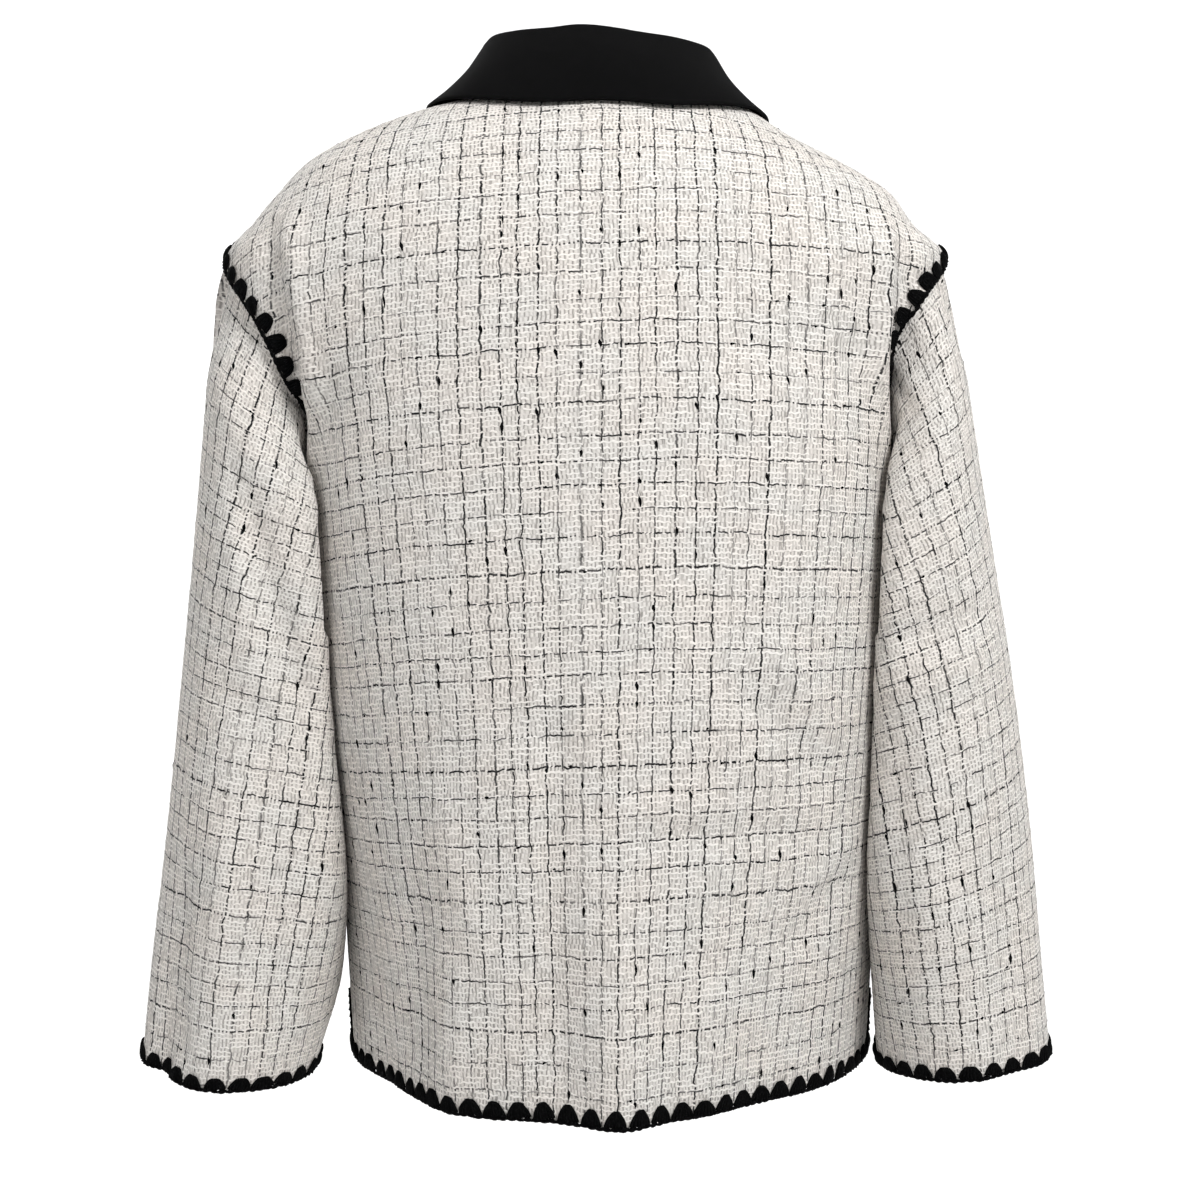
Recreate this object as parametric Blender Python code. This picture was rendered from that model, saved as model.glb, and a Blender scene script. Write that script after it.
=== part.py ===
# Cropped tweed jacket in its worn shape: boxy, open in front, with dropped shoulders, long
# straight sleeves, a black turned-down collar and black scalloped edging on its free edges.
#
# Metres, +Z up. The front faces -Y and the wearer's left is +X. The origin is the middle of
# the neck opening, level with the ends of the shoulder seams. Tables are in millimetres.

import math
from collections import namedtuple

import bpy
import bmesh
import numpy as np
from mathutils import Vector
from mathutils.bvhtree import BVHTree

MM = 0.001

TWEED_THICKNESS = 2.0 * MM
COLLAR_THICKNESS = 2.2 * MM
EDGING_THICKNESS = 1.8 * MM
SEAM_GAP = 0.3 * MM

FRONT_GAP_NECK = 10.0 * MM
FRONT_GAP_HEM = 18.0 * MM

SCALLOP_PITCH = 15.2 * MM
SCALLOP_HEIGHT = 12.3 * MM
SCALLOP_SHOULDER = 9.2 * MM
SCALLOP_VALLEY = 2.6 * MM
EDGING_OVERHANG = 2.4 * MM
EDGING_CLEARANCE = 0.5 * MM
BENT_ROW = 0.45
BENT_NORMALS_AT = (0.4, 0.9)
LIFT_ROUNDS = 4
TRIANGLE_SAMPLES = np.array([
    (1, 0, 0), (0, 1, 0), (0, 0, 1), (0.5, 0.5, 0), (0, 0.5, 0.5), (0.5, 0, 0.5),
    (0.6, 0.2, 0.2), (0.2, 0.6, 0.2), (0.2, 0.2, 0.6)])

COLLAR_SEAM = 1.2 * MM
ABOVE_ALL = 100 * MM

# The sleeve's head is tucked under the armhole's edge, leads outward from it and drops into
# the sleeve. Its clearances are those to the body at its side, to the edging near the
# underarm, and to the body at the hem.
SLEEVE_TUCK = 5.0 * MM
SLEEVE_LIP = 4.0 * MM
SLEEVE_TUCK_CLEARANCE = 1.5 * MM
SLEEVE_LEAD_OUTER = 25.0 * MM
SLEEVE_LEAD_INNER = 13.0 * MM
SLEEVE_DROP_OUTER = 28.0 * MM
SLEEVE_DROP_INNER = 42.0 * MM
SLEEVE_HEAD_FULLNESS = 12.0 * MM
SLEEVE_INNER_COSINE = -0.2
SLEEVE_BODY_CLEARANCE = 3.0 * MM
SLEEVE_BODY_SOFTNESS = 2.0 * MM
SLEEVE_EDGING_CLEARANCE = 5.2 * MM
SLEEVE_EDGING_DEPTH = 55.4 * MM
SLEEVE_EDGING_FADE = 36.9 * MM
SLEEVE_HEM_CLEARANCE = 7.5 * MM

RING_SAMPLES = 181
BACK_COLUMNS = 20
FRONT_COLUMNS = 10
ARMHOLE_ROWS = 10
COLUMN_CROWDING = 0.45
SLEEVE_TURN_ROWS = 4

# One row for each level round the body. x and z of the widest point on each side, y of that
# point, y and z of the middle of the back and of the front, how square the two halves are
# (2 is an ellipse), y of the side or shoulder seam, and how far the armhole's edge lies
# behind and in front of that seam.
Ring = namedtuple(
    "Ring", "name left_x left_z right_x right_z wide_y back_y back_z front_y front_z "
            "back_square front_square seam_y hole_back_left hole_back_right hole_front")
BODY_RINGS = [
    Ring("hem",        175, -640, 187, -640, -60, 134, -640, -124, -640, 1.85, 2.5, -20, 0, 0, 0),
    Ring("hip",        176, -552, 188, -552, -42, 135, -552, -126, -552, 1.95, 2.5, -14, 0, 0, 0),
    Ring("waist",      181, -455, 188, -455, -25, 134, -455, -128, -455, 2.10, 2.5, -8, 0, 0, 0),
    Ring("midriff",    185, -365, 188, -365, -10, 132, -365, -131, -365, 2.25, 2.5, -4, 0, 0, 0),
    Ring("underarm",   187, -280, 188, -280,   0, 129, -283, -134, -287, 2.40, 2.5, 0, 0, 0, 0),
    Ring("armhole_1",  188, -243, 187, -240,   3, 128, -247, -134, -253, 2.45, 2.5, 3, 22, 18, 46),
    Ring("armhole_2",  192, -207, 187, -203,   7, 127, -215, -131, -223, 2.35, 2.5, 7, 34, 26, 62),
    Ring("armhole_3",  217, -176, 194, -171,  10, 125, -187, -127, -196, 2.10, 2.5, 10, 46, 40, 68),
    Ring("armhole_4",  242, -142, 216, -138,  12, 122, -159, -121, -172, 2.00, 2.5, 12, 42, 42, 54),
    Ring("tip",        246, -107, 227, -107,  12, 118, -131, -114, -150, 2.05, 2.5, 12, 0, 0, 0),
    Ring("shoulder_1", 229,  -86, 207,  -87,  11, 113, -107, -107, -133, 2.20, 2.4, 11, 0, 0, 0),
    Ring("shoulder_2", 212,  -65, 191,  -65,   9, 107,  -84, -100, -118, 2.25, 2.3, 9, 0, 0, 0),
    Ring("shoulder_3", 193,  -44, 160,  -45,   6,  99,  -62,  -93, -104, 2.25, 2.2, 6, 0, 0, 0),
    Ring("shoulder_4", 161,  -25, 127,  -27,   3,  89,  -42,  -87,  -92, 2.20, 2.1, 3, 0, 0, 0),
    Ring("shoulder_5", 124,  -10, 106,  -12,   1,  76,  -24,  -82,  -83, 2.10, 2.05, 1, 0, 0, 0),
    Ring("neck",        86,    0,  86,    0,   0,  60,   -8,  -78,  -76, 2.00, 2.0, 0, 0, 0, 0),
]
UNDERARM = 4
TIP = 9
NECK = 15

HEM_ROWS = [0, 0.27, 0.6, 1, 1.4, 1.8, 2.2, 2.6, 3, 3.35, 3.7, 4]
SHOULDER_ROWS = [9.8, 10.7, 11.6, 12.5, 13.4, 14.2, 15]

# Soft folds of the body. Angles run round the body in degrees, 0 at the middle of the back
# and 90 at the left side. A fold starts at its top, and has its depth (out is positive) at
# the hem.
Fold = namedtuple("Fold", "name top_angle hem_angle spread depth top_z")
BODY_FOLDS = [
    Fold("back_middle",     -3,   -5,  9,  13, -430),
    Fold("back_left",       30,   39, 12,  13, -400),
    Fold("back_right",     -38,  -46, 15,  -7, -360),
    Fold("side_left",       78,   72, 10,  -4, -330),
    Fold("front_left_in",  118,  122, 12,  -8, -340),
    Fold("front_left_out", 140,  146, 10,  10, -300),
    Fold("front_right_in", -116, -118, 12, -7, -330),
    Fold("front_right_out", -142, -150, 10,  9, -290),
]

# One row for each level of the sleeve: x and z of its outer and inner sides on the left and
# on the right, y of its back and front, and how much lower its back hangs on each side.
SleeveRing = namedtuple(
    "SleeveRing", "name outer_x_left outer_z_left inner_x_left inner_z_left outer_x_right "
                  "outer_z_right inner_x_right inner_z_right back_y front_y drop_left drop_right")
SLEEVE_RINGS = [
    SleeveRing("armpit",   259, -192, 195, -312, 244, -190, 195, -312, 76, -78, 0, 0),
    SleeveRing("upper",    269, -290, 183, -362, 259, -290, 184, -362, 76, -88, 0, 0),
    SleeveRing("elbow",    278, -385, 178, -428, 274, -385, 182, -428, 74, -84, 0, 0),
    SleeveRing("forearm",  287, -480, 172, -502, 285, -480, 180, -502, 73, -74, 2, 1),
    SleeveRing("wrist",    296, -562, 168, -572, 291, -562, 179, -571, 74, -62, 5, 2),
    SleeveRing("cuff",     300, -616, 182, -629, 295, -623, 183, -621, 76, -48, 15, 6),
]
SLEEVE_ROWS_PER_RING = 2

# Soft folds of the sleeves, with side 1 on the left. Angles run round the sleeve from its
# outer side over the back. A fold starts at the level top, reaches its depth after some more
# levels, and keeps a share of it at the cuff.
SleeveFold = namedtuple(
    "SleeveFold", "name side top_angle cuff_angle spread depth top grows cuff")
SLEEVE_FOLDS = [
    SleeveFold("outer_crease",  1,  40,  47, 13, -9, 2.6, 2.4, 1.0),
    SleeveFold("back_roll",     1,  75,  95, 22,  5, 1.5, 1.5, 0.8),
    SleeveFold("elbow_hollow",  1, 120, 110, 18, -5, 0.6, 1.5, 0.3),
    SleeveFold("front_roll",    1, 290, 300, 24,  5, 1.5, 1.5, 0.8),
    SleeveFold("back_hollow",  -1,  60,  66, 16, -6, 2.2, 1.5, 0.8),
    SleeveFold("back_roll",    -1,  95, 112, 20,  5, 1.0, 1.5, 0.8),
    SleeveFold("front_hollow", -1, 285, 292, 20, -5, 1.2, 1.5, 0.8),
]
WRIST_START = 3

# Stations of one half of the collar: angle round the neckline, height of the stand on the
# left and on the right, how far it leans inward, how far the fold reaches outward over it,
# where the outer edge of the fall lies on the left and on the right, its lift off the body,
# and the fall's roundness.
CollarStation = namedtuple(
    "CollarStation",
    "name angle stand_left stand_right lean fold left_x right_x edge_y lift swell")
COLLAR_STATIONS = [
    CollarStation("back",            0, 36, 36,  4, 7.0,   0,   0,   75, 2.0, 3.0),
    CollarStation("back_quarter",   32, 37, 34,  8, 7.0,  46,  47,   72, 2.5, 2.0),
    CollarStation("shoulder_back",  64, 37, 32, 14, 7.0,  91,  88,   47, 2.5, -1.0),
    CollarStation("shoulder",       90, 36, 30, 14, 7.0, 115, 111,    4, 1.5, -4.0),
    CollarStation("shoulder_front", 116, 28, 25, 9, 6.5, 114, 108,  -44, 2.0, -2.0),
    CollarStation("chest",          145, 15, 14, 4, 7.5,  96,  93,  -84, 2.5, 1.0),
    CollarStation("point",          171,  6,  6, 0, 6.5,  62,  62, -112, 2.5, 1.0),
]
COLLAR_ROWS_PER_STATION = 3

# The collar's section over its stand: how far out and up the crest of the fold lies and how
# far its outer side drops, as shares of the fold's reach, and for two places down the fall
# how far down they lie and how much of the swell they have.
CREST_OUT = 0.45
CREST_UP = 0.4
FOLD_DROP = 0.2
FALL_PLACES = [(0.36, 1.0), (0.7, 0.8)]

TWEED_COLOUR = (0.78, 0.76, 0.72, 1.0)
BLACK_COLOUR = (0.012, 0.012, 0.013, 1.0)


def clear_scene():
    for old in list(bpy.data.objects):
        bpy.data.objects.remove(old)


def cloth_material(name, colour, roughness):
    material = bpy.data.materials.new(name)
    material.use_nodes = True
    shader = material.node_tree.nodes["Principled BSDF"]
    shader.inputs["Base Color"].default_value = colour
    shader.inputs["Roughness"].default_value = roughness
    shader.inputs["Metallic"].default_value = 0.0
    return material


def between(rows, at):
    """Catmull-Rom curve through equally spaced rows of numbers."""
    rows = np.asarray(rows, float)
    last = len(rows) - 1
    at = min(max(at, 0.0), float(last))
    k = min(int(at), last - 1)
    t = at - k
    start, end = rows[k], rows[k + 1]
    into = (end - rows[k - 1]) / 2 if k > 0 else end - start
    out = (rows[k + 2] - start) / 2 if k + 2 <= last else end - start
    return ((2 * t**3 - 3 * t**2 + 1) * start + (t**3 - 2 * t**2 + t) * into
            + (3 * t**2 - 2 * t**3) * end + (t**3 - t**2) * out)


def ease(t):
    t = np.clip(t, 0.0, 1.0)
    return t * t * (3 - 2 * t)


def unit(vectors):
    lengths = np.linalg.norm(vectors, axis=-1, keepdims=True)
    return vectors / np.maximum(lengths, 1e-12)


# The body's surface ------------------------------------------------------------------------

RING_TABLE = np.array([row[1:] for row in BODY_RINGS], float)
RING_TABLE[:, :9] *= MM
RING_TABLE[:, 11:] *= MM
HOLE_TABLE = RING_TABLE[:, 12:] ** 2


def fold_offset(folds, angle, z):
    """Outward depth of the body's soft folds at angles in degrees and heights."""
    hem_z = BODY_RINGS[0].left_z * MM
    total = np.zeros_like(angle)
    for fold in folds:
        grown = ease((fold.top_z * MM - z) / (fold.top_z * MM - hem_z))
        middle = fold.top_angle + (fold.hem_angle - fold.top_angle) * grown
        away = (angle - middle + 180) % 360 - 180
        total += fold.depth * MM * grown * np.exp(-(away / fold.spread) ** 2)
    return total


def ring_base(at):
    """Points of the whole ring at a level, from the middle of the front round the right,
    back and left sides to the middle of the front again."""
    (left_x, left_z, right_x, right_z, wide_y, back_y, back_z, front_y, front_z,
     back_square, front_square) = between(RING_TABLE, at)[:11]
    turn = np.radians(np.linspace(-180, 180, RING_SAMPLES))
    left, behind = turn >= 0, np.abs(turn) <= math.pi / 2
    square = np.where(behind, back_square, front_square)
    across, along = np.abs(np.sin(turn)), np.abs(np.cos(turn))
    radius = (across ** square + along ** square) ** (-1 / square)
    across, along = across * radius, along * radius
    side_x = np.where(left, left_x, -right_x)
    side_z = np.where(left, left_z, right_z)
    middle_y = np.where(behind, back_y, front_y)
    middle_z = np.where(behind, back_z, front_z)
    return np.stack([side_x * across, wide_y + (middle_y - wide_y) * along,
                     side_z + (middle_z - side_z) * along ** 1.5], axis=1)


def ring_points(at):
    base = ring_base(at)
    angle = np.degrees(np.arctan2(base[:, 0], base[:, 1]))
    offset = fold_offset(BODY_FOLDS, angle, base[:, 2])
    points = base.copy()
    points[:, :2] += unit(base[:, :2]) * offset[:, None]
    return points


def ring_normals(at):
    """Outward directions round a level. The tip's level is the foot of the shoulder slope."""
    step = 0.02
    low = TIP if TIP <= at < TIP + step else max(at - step, 0)
    along = ring_points(min(at + step, NECK)) - ring_points(low)
    points = ring_points(at)
    closed = np.vstack([points[-2], points, points[1]])
    across = closed[2:] - closed[:-2]
    return unit(np.cross(along, across))


def armhole_reach(at):
    """How far the armhole's edge lies from the seam at a level: behind it on the left and
    on the right, and in front of it. Squares are blended, which rounds the hole's ends."""
    if not UNDERARM < at < TIP:
        return np.zeros(3)
    return np.sqrt(np.maximum(between(HOLE_TABLE, at), 0))


class Level:
    """One level round the body, measured along its length from the middle of the back."""

    def __init__(self, at):
        self.at = at
        self.points = ring_points(at)
        self.normals = ring_normals(at)
        self.base = ring_base(at)
        steps = np.linalg.norm(np.diff(self.points, axis=0), axis=1)
        self.run = np.concatenate([[0], np.cumsum(steps)])
        self.run -= self.run[RING_SAMPLES // 2]

    def half(self, side):
        middle = RING_SAMPLES // 2
        return slice(middle, None) if side > 0 else slice(middle, None, -1)

    def run_at_y(self, side, y):
        part = self.half(side)
        return np.interp(-y, -self.base[part, 1], self.run[part])

    def run_at_front(self, side, x):
        part = self.half(side)
        quarter = RING_SAMPLES // 4
        run, width = self.run[part][quarter:], np.abs(self.base[part, 0][quarter:])
        return np.interp(-x, -width, run)

    def sample(self, runs):
        points = [np.interp(runs, self.run, self.points[:, k]) for k in range(3)]
        normals = [np.interp(runs, self.run, self.normals[:, k]) for k in range(3)]
        return np.stack(points, axis=-1), unit(np.stack(normals, axis=-1))


def panel_rows():
    shares = [(1 - math.cos(math.pi * k / ARMHOLE_ROWS)) / 2 for k in range(1, ARMHOLE_ROWS + 1)]
    armhole = [UNDERARM + share * (TIP - UNDERARM) for share in shares]
    return HEM_ROWS + armhole + SHOULDER_ROWS


def back_edge(level, side):
    seam_y = between(RING_TABLE, level.at)[11]
    y = seam_y + armhole_reach(level.at)[0 if side > 0 else 1]
    return level.run_at_y(side, y) - side * SEAM_GAP / 2


def front_edge(level, side):
    seam_y = between(RING_TABLE, level.at)[11]
    y = seam_y - armhole_reach(level.at)[2]
    return level.run_at_y(side, y) + side * SEAM_GAP / 2


def crowded(count, start, end):
    """Shares from 0 to 1 that lie closer together near the chosen ends."""
    even = np.linspace(0, 1, count + 1)
    if start and end:
        packed = (1 - np.cos(math.pi * even)) / 2
    else:
        packed = 1 - np.cos(math.pi / 2 * even) if start else np.sin(math.pi / 2 * even)
    return (1 - COLUMN_CROWDING) * even + COLUMN_CROWDING * packed


def back_grid(levels):
    points, normals = [], []
    for level in levels:
        right, left = back_edge(level, -1), back_edge(level, 1)
        runs = right + (left - right) * crowded(BACK_COLUMNS, True, True)
        row, out = level.sample(runs)
        points.append(row)
        normals.append(out)
    return np.array(points), np.array(normals)


def front_grid(levels, side):
    points, normals = [], []
    for level in levels:
        half_gap = (FRONT_GAP_HEM + (FRONT_GAP_NECK - FRONT_GAP_HEM) * level.at / NECK) / 2
        opening = level.run_at_front(side, half_gap)
        edge = front_edge(level, side)
        runs = edge + (opening - edge) * crowded(FRONT_COLUMNS, True, False)
        row, out = level.sample(runs)
        points.append(row)
        normals.append(out)
    return np.array(points), np.array(normals)


# Building solids ----------------------------------------------------------------------------

def grid_faces(rows, columns, closed):
    """Triangles of a grid of points, given as (row, column) corners."""
    spans = columns if closed else columns - 1
    for r in range(rows - 1):
        for c in range(spans):
            d = (c + 1) % columns
            yield (r, c), (r, d), (r + 1, d)
            yield (r, c), (r + 1, d), (r + 1, c)


def wall(name, outer, normals, thickness, material, collection, closed=False):
    """A cloth wall: an outer grid of points, and the same grid moved inward."""
    rows, columns = outer.shape[:2]
    inner = outer - normals * thickness
    build = bmesh.new()
    skins = [[[build.verts.new(p) for p in row] for row in skin] for skin in (outer, inner)]
    for corners in grid_faces(rows, columns, closed):
        build.faces.new([skins[0][r][c] for r, c in corners])
        build.faces.new([skins[1][r][c] for r, c in reversed(corners)])
    rims = [[(r, c) for c in range(columns)] for r in (0, rows - 1)]
    if not closed:
        rims += [[(r, c) for r in range(rows)] for c in (0, columns - 1)]
    for rim in rims:
        ends = rim + rim[:1] if closed else rim
        for (r, c), (s, d) in zip(ends[:-1], ends[1:]):
            a, b = skins[0][r][c], skins[0][s][d]
            e, f = skins[1][s][d], skins[1][r][c]
            build.faces.new([a, b, e])
            build.faces.new([a, e, f])
    bmesh.ops.recalc_face_normals(build, faces=build.faces)
    mesh = bpy.data.meshes.new(name)
    build.to_mesh(mesh)
    build.free()
    mesh.shade_smooth()
    mesh.set_sharp_from_angle(angle=math.radians(50))
    mesh.materials.append(material)
    piece = bpy.data.objects.new(name, mesh)
    collection.objects.link(piece)
    return piece


def surface_tree(*grids):
    """A tree of the outer faces of some grids, to lay other pieces on. Each grid comes with
    whether it closes round and whether its faces have to be turned to point outward."""
    vertices, faces = [], []
    for grid, closed, turned in grids:
        start = len(vertices)
        rows, columns = grid.shape[:2]
        vertices += [Vector(p) for p in grid.reshape(-1, 3)]
        for corners in grid_faces(rows, columns, closed):
            face = [start + r * columns + c for r, c in corners]
            faces.append(face[::-1] if turned else face)
    return BVHTree.FromPolygons(vertices, faces)


def nearest(tree, points):
    return np.array([tree.find_nearest(Vector(point))[0] for point in points])


def normals_at(tree, points):
    return np.array([tree.find_nearest(Vector(point))[1] for point in points])


def smoothed(directions):
    """Directions round a closed loop, blended with their neighbours."""
    for _ in range(2):
        directions = unit(directions + (np.roll(directions, 1, axis=0)
                                        + np.roll(directions, -1, axis=0)) / 2)
    return directions


def shortfall(tree, grid, closed):
    """How much each column of a grid has to rise to clear the surface in the tree."""
    rows, columns = grid.shape[:2]
    short = np.zeros(columns)
    for corners in grid_faces(rows, columns, closed):
        triangle = np.array([grid[r, c] for r, c in corners])
        for point in TRIANGLE_SAMPLES @ triangle:
            near, normal = tree.find_nearest(Vector(point))[:2]
            lack = EDGING_CLEARANCE / 2 - np.dot(point - np.array(near), np.array(normal))
            for _, c in corners:
                short[c] = max(short[c], lack)
    return short


def keep_on_top(point, tree, clearance):
    """Move a point out until it lies over the body with some clearance."""
    for _ in range(3):
        near, normal = tree.find_nearest(Vector(point))[:2]
        out = np.array(normal)
        height = np.dot(point - np.array(near), out)
        if height < clearance:
            point = point + out * (clearance - height)
    return point


# Edging -------------------------------------------------------------------------------------

def scallop_heights(count):
    """Heights of the scallops' tops above the edge, four columns to a scallop."""
    one = [SCALLOP_VALLEY, SCALLOP_SHOULDER, SCALLOP_HEIGHT, SCALLOP_SHOULDER]
    return one * count + [SCALLOP_VALLEY]


def edging(name, path, inward, out, tree, material, collection, closed=False, bent=False):
    """A scalloped strip along an edge, lying on the panels in the tree. The path has a
    point, a direction into the cloth and a direction out of it for each place. A bent strip
    has one more row, to follow a panel that curves across it."""
    if closed:
        path, inward, out = (np.vstack([a, a[:1]]) for a in (path, inward, out))
    run = np.concatenate([[0], np.cumsum(np.linalg.norm(np.diff(path, axis=0), axis=1))])
    count = round(run[-1] / SCALLOP_PITCH)
    heights = scallop_heights(count)
    places = np.linspace(0, run[-1], len(heights))
    if closed:
        heights, places = heights[:-1], places[:-1]
    edge, lift_in, lift_out = (
        np.stack([np.interp(places, run, a[:, k]) for k in range(3)], axis=1)
        for a in (path, inward, out))
    lift_in, lift_out = unit(lift_in), unit(lift_out)
    heights = np.array(heights)[:, None]
    if bent:
        low, high = (normals_at(tree, edge + lift_in * heights * share)
                     for share in BENT_NORMALS_AT)
        lift_out = smoothed(low + high)
    shares = (0, BENT_ROW, 1) if bent else (0, 1)
    rows = [nearest(tree, edge + lift_in * heights * share) for share in shares]
    over = edge - rows[1]
    over -= lift_out * np.sum(over * lift_out, axis=1, keepdims=True)
    rows[0] = edge + unit(over) * EDGING_OVERHANG
    rows = np.array(rows)
    lift = np.full(len(edge), EDGING_CLEARANCE)
    for _ in range(LIFT_ROUNDS):
        lift += shortfall(tree, rows + lift_out * lift[:, None], closed)
    outer = rows + lift_out * (lift[:, None] + EDGING_THICKNESS)
    normals = np.array([lift_out] * len(rows))
    return wall(name, outer, normals, EDGING_THICKNESS, material, collection, closed)


def shorten(rows, path, length):
    """The rows of values along a path, with a length cut off at both of its ends."""
    run = np.concatenate([[0], np.cumsum(np.linalg.norm(np.diff(path, axis=0), axis=1))])
    kept = run[(run > length) & (run < run[-1] - length)]
    places = np.concatenate([[length], kept, [run[-1] - length]])
    return np.stack([np.interp(places, run, rows[:, k]) for k in range(3)], axis=1)


def loop_frames(path, normals, centre):
    """Directions into the cloth round a closed loop, away from its centre."""
    ahead = unit(np.roll(path, -1, axis=0) - np.roll(path, 1, axis=0))
    inward = unit(np.cross(ahead, normals))
    flip = np.sign(np.sum(inward * (path - centre), axis=1, keepdims=True))
    return inward * flip


# Sleeves ------------------------------------------------------------------------------------

def armhole_loop(back, front, side):
    """The armhole's edge: points and normals from the shoulder tip down the back to the
    underarm and up the front."""
    bottom = len(HEM_ROWS) - 1
    top = bottom + ARMHOLE_ROWS
    column = -1 if side > 0 else 0
    down = [(back, r, column) for r in range(top, bottom, -1)]
    up = [(front, r, 0) for r in range(bottom, top)]
    points = np.array([grid[0][r, c] for grid, r, c in down + up])
    normals = np.array([grid[1][r, c] for grid, r, c in down + up])
    return points, normals


def body_half_width(level_z, side, y):
    """Outer half width of the body below the underarm, at a height and a depth."""
    heights = RING_TABLE[:UNDERARM + 1, 1]
    at = np.interp(level_z, heights, np.arange(UNDERARM + 1))
    points = ring_points(at)
    middle = RING_SAMPLES // 2
    part = points[middle:] if side > 0 else points[middle::-1]
    return np.interp(-y, -part[:, 1], np.abs(part[:, 0]))


def keep_off_body(point, side):
    """Move a sleeve's point out sideways until it hangs just clear of the body."""
    x, y, z = point
    hem_z, underarm_z = RING_TABLE[0, 1], RING_TABLE[UNDERARM, 1]
    if z > underarm_z:
        return point
    low = ease((RING_TABLE[1, 1] - z) / (RING_TABLE[1, 1] - hem_z))
    high = ease((z - underarm_z + SLEEVE_EDGING_DEPTH) / SLEEVE_EDGING_FADE)
    clearance = (SLEEVE_BODY_CLEARANCE + (SLEEVE_HEM_CLEARANCE - SLEEVE_BODY_CLEARANCE) * low
                 + (SLEEVE_EDGING_CLEARANCE - SLEEVE_BODY_CLEARANCE) * high)
    limit = body_half_width(max(z, hem_z), side, y) + clearance
    beyond = abs(x) - limit
    kept = limit + (beyond + math.sqrt(beyond ** 2 + SLEEVE_BODY_SOFTNESS ** 2)) / 2
    return np.array([side * kept, y, z])


def sleeve_ring(at, angles, side):
    """A level of the sleeve, at angles from its outer side round the back."""
    table = np.array([row[1:] for row in SLEEVE_RINGS], float) * MM
    row = between(table, at)
    outer_x, outer_z, inner_x, inner_z = row[:4] if side > 0 else row[4:8]
    back_y, front_y = row[8:10]
    back_drop = row[10] if side > 0 else row[11]
    turn = np.radians(angles)
    x = (outer_x + inner_x) / 2 + (outer_x - inner_x) / 2 * np.cos(turn)
    y = (back_y + front_y) / 2 + (back_y - front_y) / 2 * np.sin(turn)
    z = (outer_z + inner_z) / 2 + (outer_z - inner_z) / 2 * np.cos(turn)
    z -= back_drop * np.maximum(np.sin(turn), 0)
    points = np.stack([side * x, y, z], axis=1)
    centre = np.array([side * (outer_x + inner_x) / 2, (back_y + front_y) / 2, 0])
    outward = points - centre
    outward[:, 2] = 0
    outward = unit(outward)
    last = len(SLEEVE_RINGS) - 1
    for fold in SLEEVE_FOLDS:
        if fold.side != side:
            continue
        grown = (ease((at - fold.top) / fold.grows)
                 * (1 - (1 - fold.cuff) * ease((at - WRIST_START) / (last - WRIST_START))))
        middle = fold.top_angle + (fold.cuff_angle - fold.top_angle) * at / last
        away = (np.degrees(turn) - middle + 180) % 360 - 180
        points += outward * (fold.depth * MM * grown * np.exp(-(away / fold.spread) ** 2))[:, None]
    return points


def sleeve_grid(loop, loop_normals, side, tree):
    """The sleeve from its head, tucked under the armhole's edge, down to the cuff."""
    centre = loop.mean(axis=0)
    into_body = loop_frames(loop, loop_normals, centre)
    over_edge = -into_body
    lengths = np.linalg.norm(np.roll(loop, -1, axis=0) - loop, axis=1)
    half = ARMHOLE_ROWS
    down = np.concatenate([[0], np.cumsum(lengths[:half])])
    up = np.concatenate([[0], np.cumsum(lengths[half:])])
    angles = np.concatenate([180 * down / down[-1], 180 + 180 * (up / up[-1])[1:-1]])

    depth = TWEED_THICKNESS + SLEEVE_TUCK_CLEARANCE
    lip = loop - loop_normals * depth + over_edge * SLEEVE_LIP
    tucked = nearest(tree, loop - over_edge * SLEEVE_TUCK) - loop_normals * depth
    first, second = sleeve_ring(0, angles, side), sleeve_ring(0.3, angles, side)
    hang = unit(second - first)
    inner_share = ((1 - np.cos(np.radians(angles))) / 2)[:, None]
    lead = SLEEVE_LEAD_OUTER + (SLEEVE_LEAD_INNER - SLEEVE_LEAD_OUTER) * inner_share
    drop = SLEEVE_DROP_OUTER + (SLEEVE_DROP_INNER - SLEEVE_DROP_OUTER) * inner_share
    fullness = np.maximum(np.cos(np.radians(angles)), 0)[:, None] * SLEEVE_HEAD_FULLNESS
    leading = lip + over_edge * lead + np.array([side, 0, 0]) * fullness

    rows = [tucked, lip]
    for k in range(1, SLEEVE_TURN_ROWS + 1):
        t = k / SLEEVE_TURN_ROWS
        rows.append((1 - t) ** 3 * lip + 3 * (1 - t) ** 2 * t * leading
                    + 3 * (1 - t) * t ** 2 * (first - hang * drop) + t ** 3 * first)
    levels = (len(SLEEVE_RINGS) - 1) * SLEEVE_ROWS_PER_RING
    for k in range(1, levels + 1):
        rows.append(sleeve_ring(k / SLEEVE_ROWS_PER_RING, angles, side))
    grid = np.array(rows)
    inner = np.cos(np.radians(angles)) < SLEEVE_INNER_COSINE
    for row in grid[2:]:
        row[inner] = [keep_on_top(point, tree, SLEEVE_EDGING_CLEARANCE) for point in row[inner]]
    for row in grid[2:]:
        row[:] = [keep_off_body(point, side) for point in row]
    return grid


def loop_grid_normals(grid, away_from):
    """Normals of a grid that closes round, pointing away from the rows' centres."""
    around = np.roll(grid, -1, axis=1) - np.roll(grid, 1, axis=1)
    along = np.gradient(grid, axis=0)
    normals = unit(np.cross(around, along))
    flip = np.sign(np.sum(normals[away_from:] * (grid[away_from:]
                   - grid[away_from:].mean(axis=1, keepdims=True))))
    return normals * flip


# Collar -------------------------------------------------------------------------------------

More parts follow.
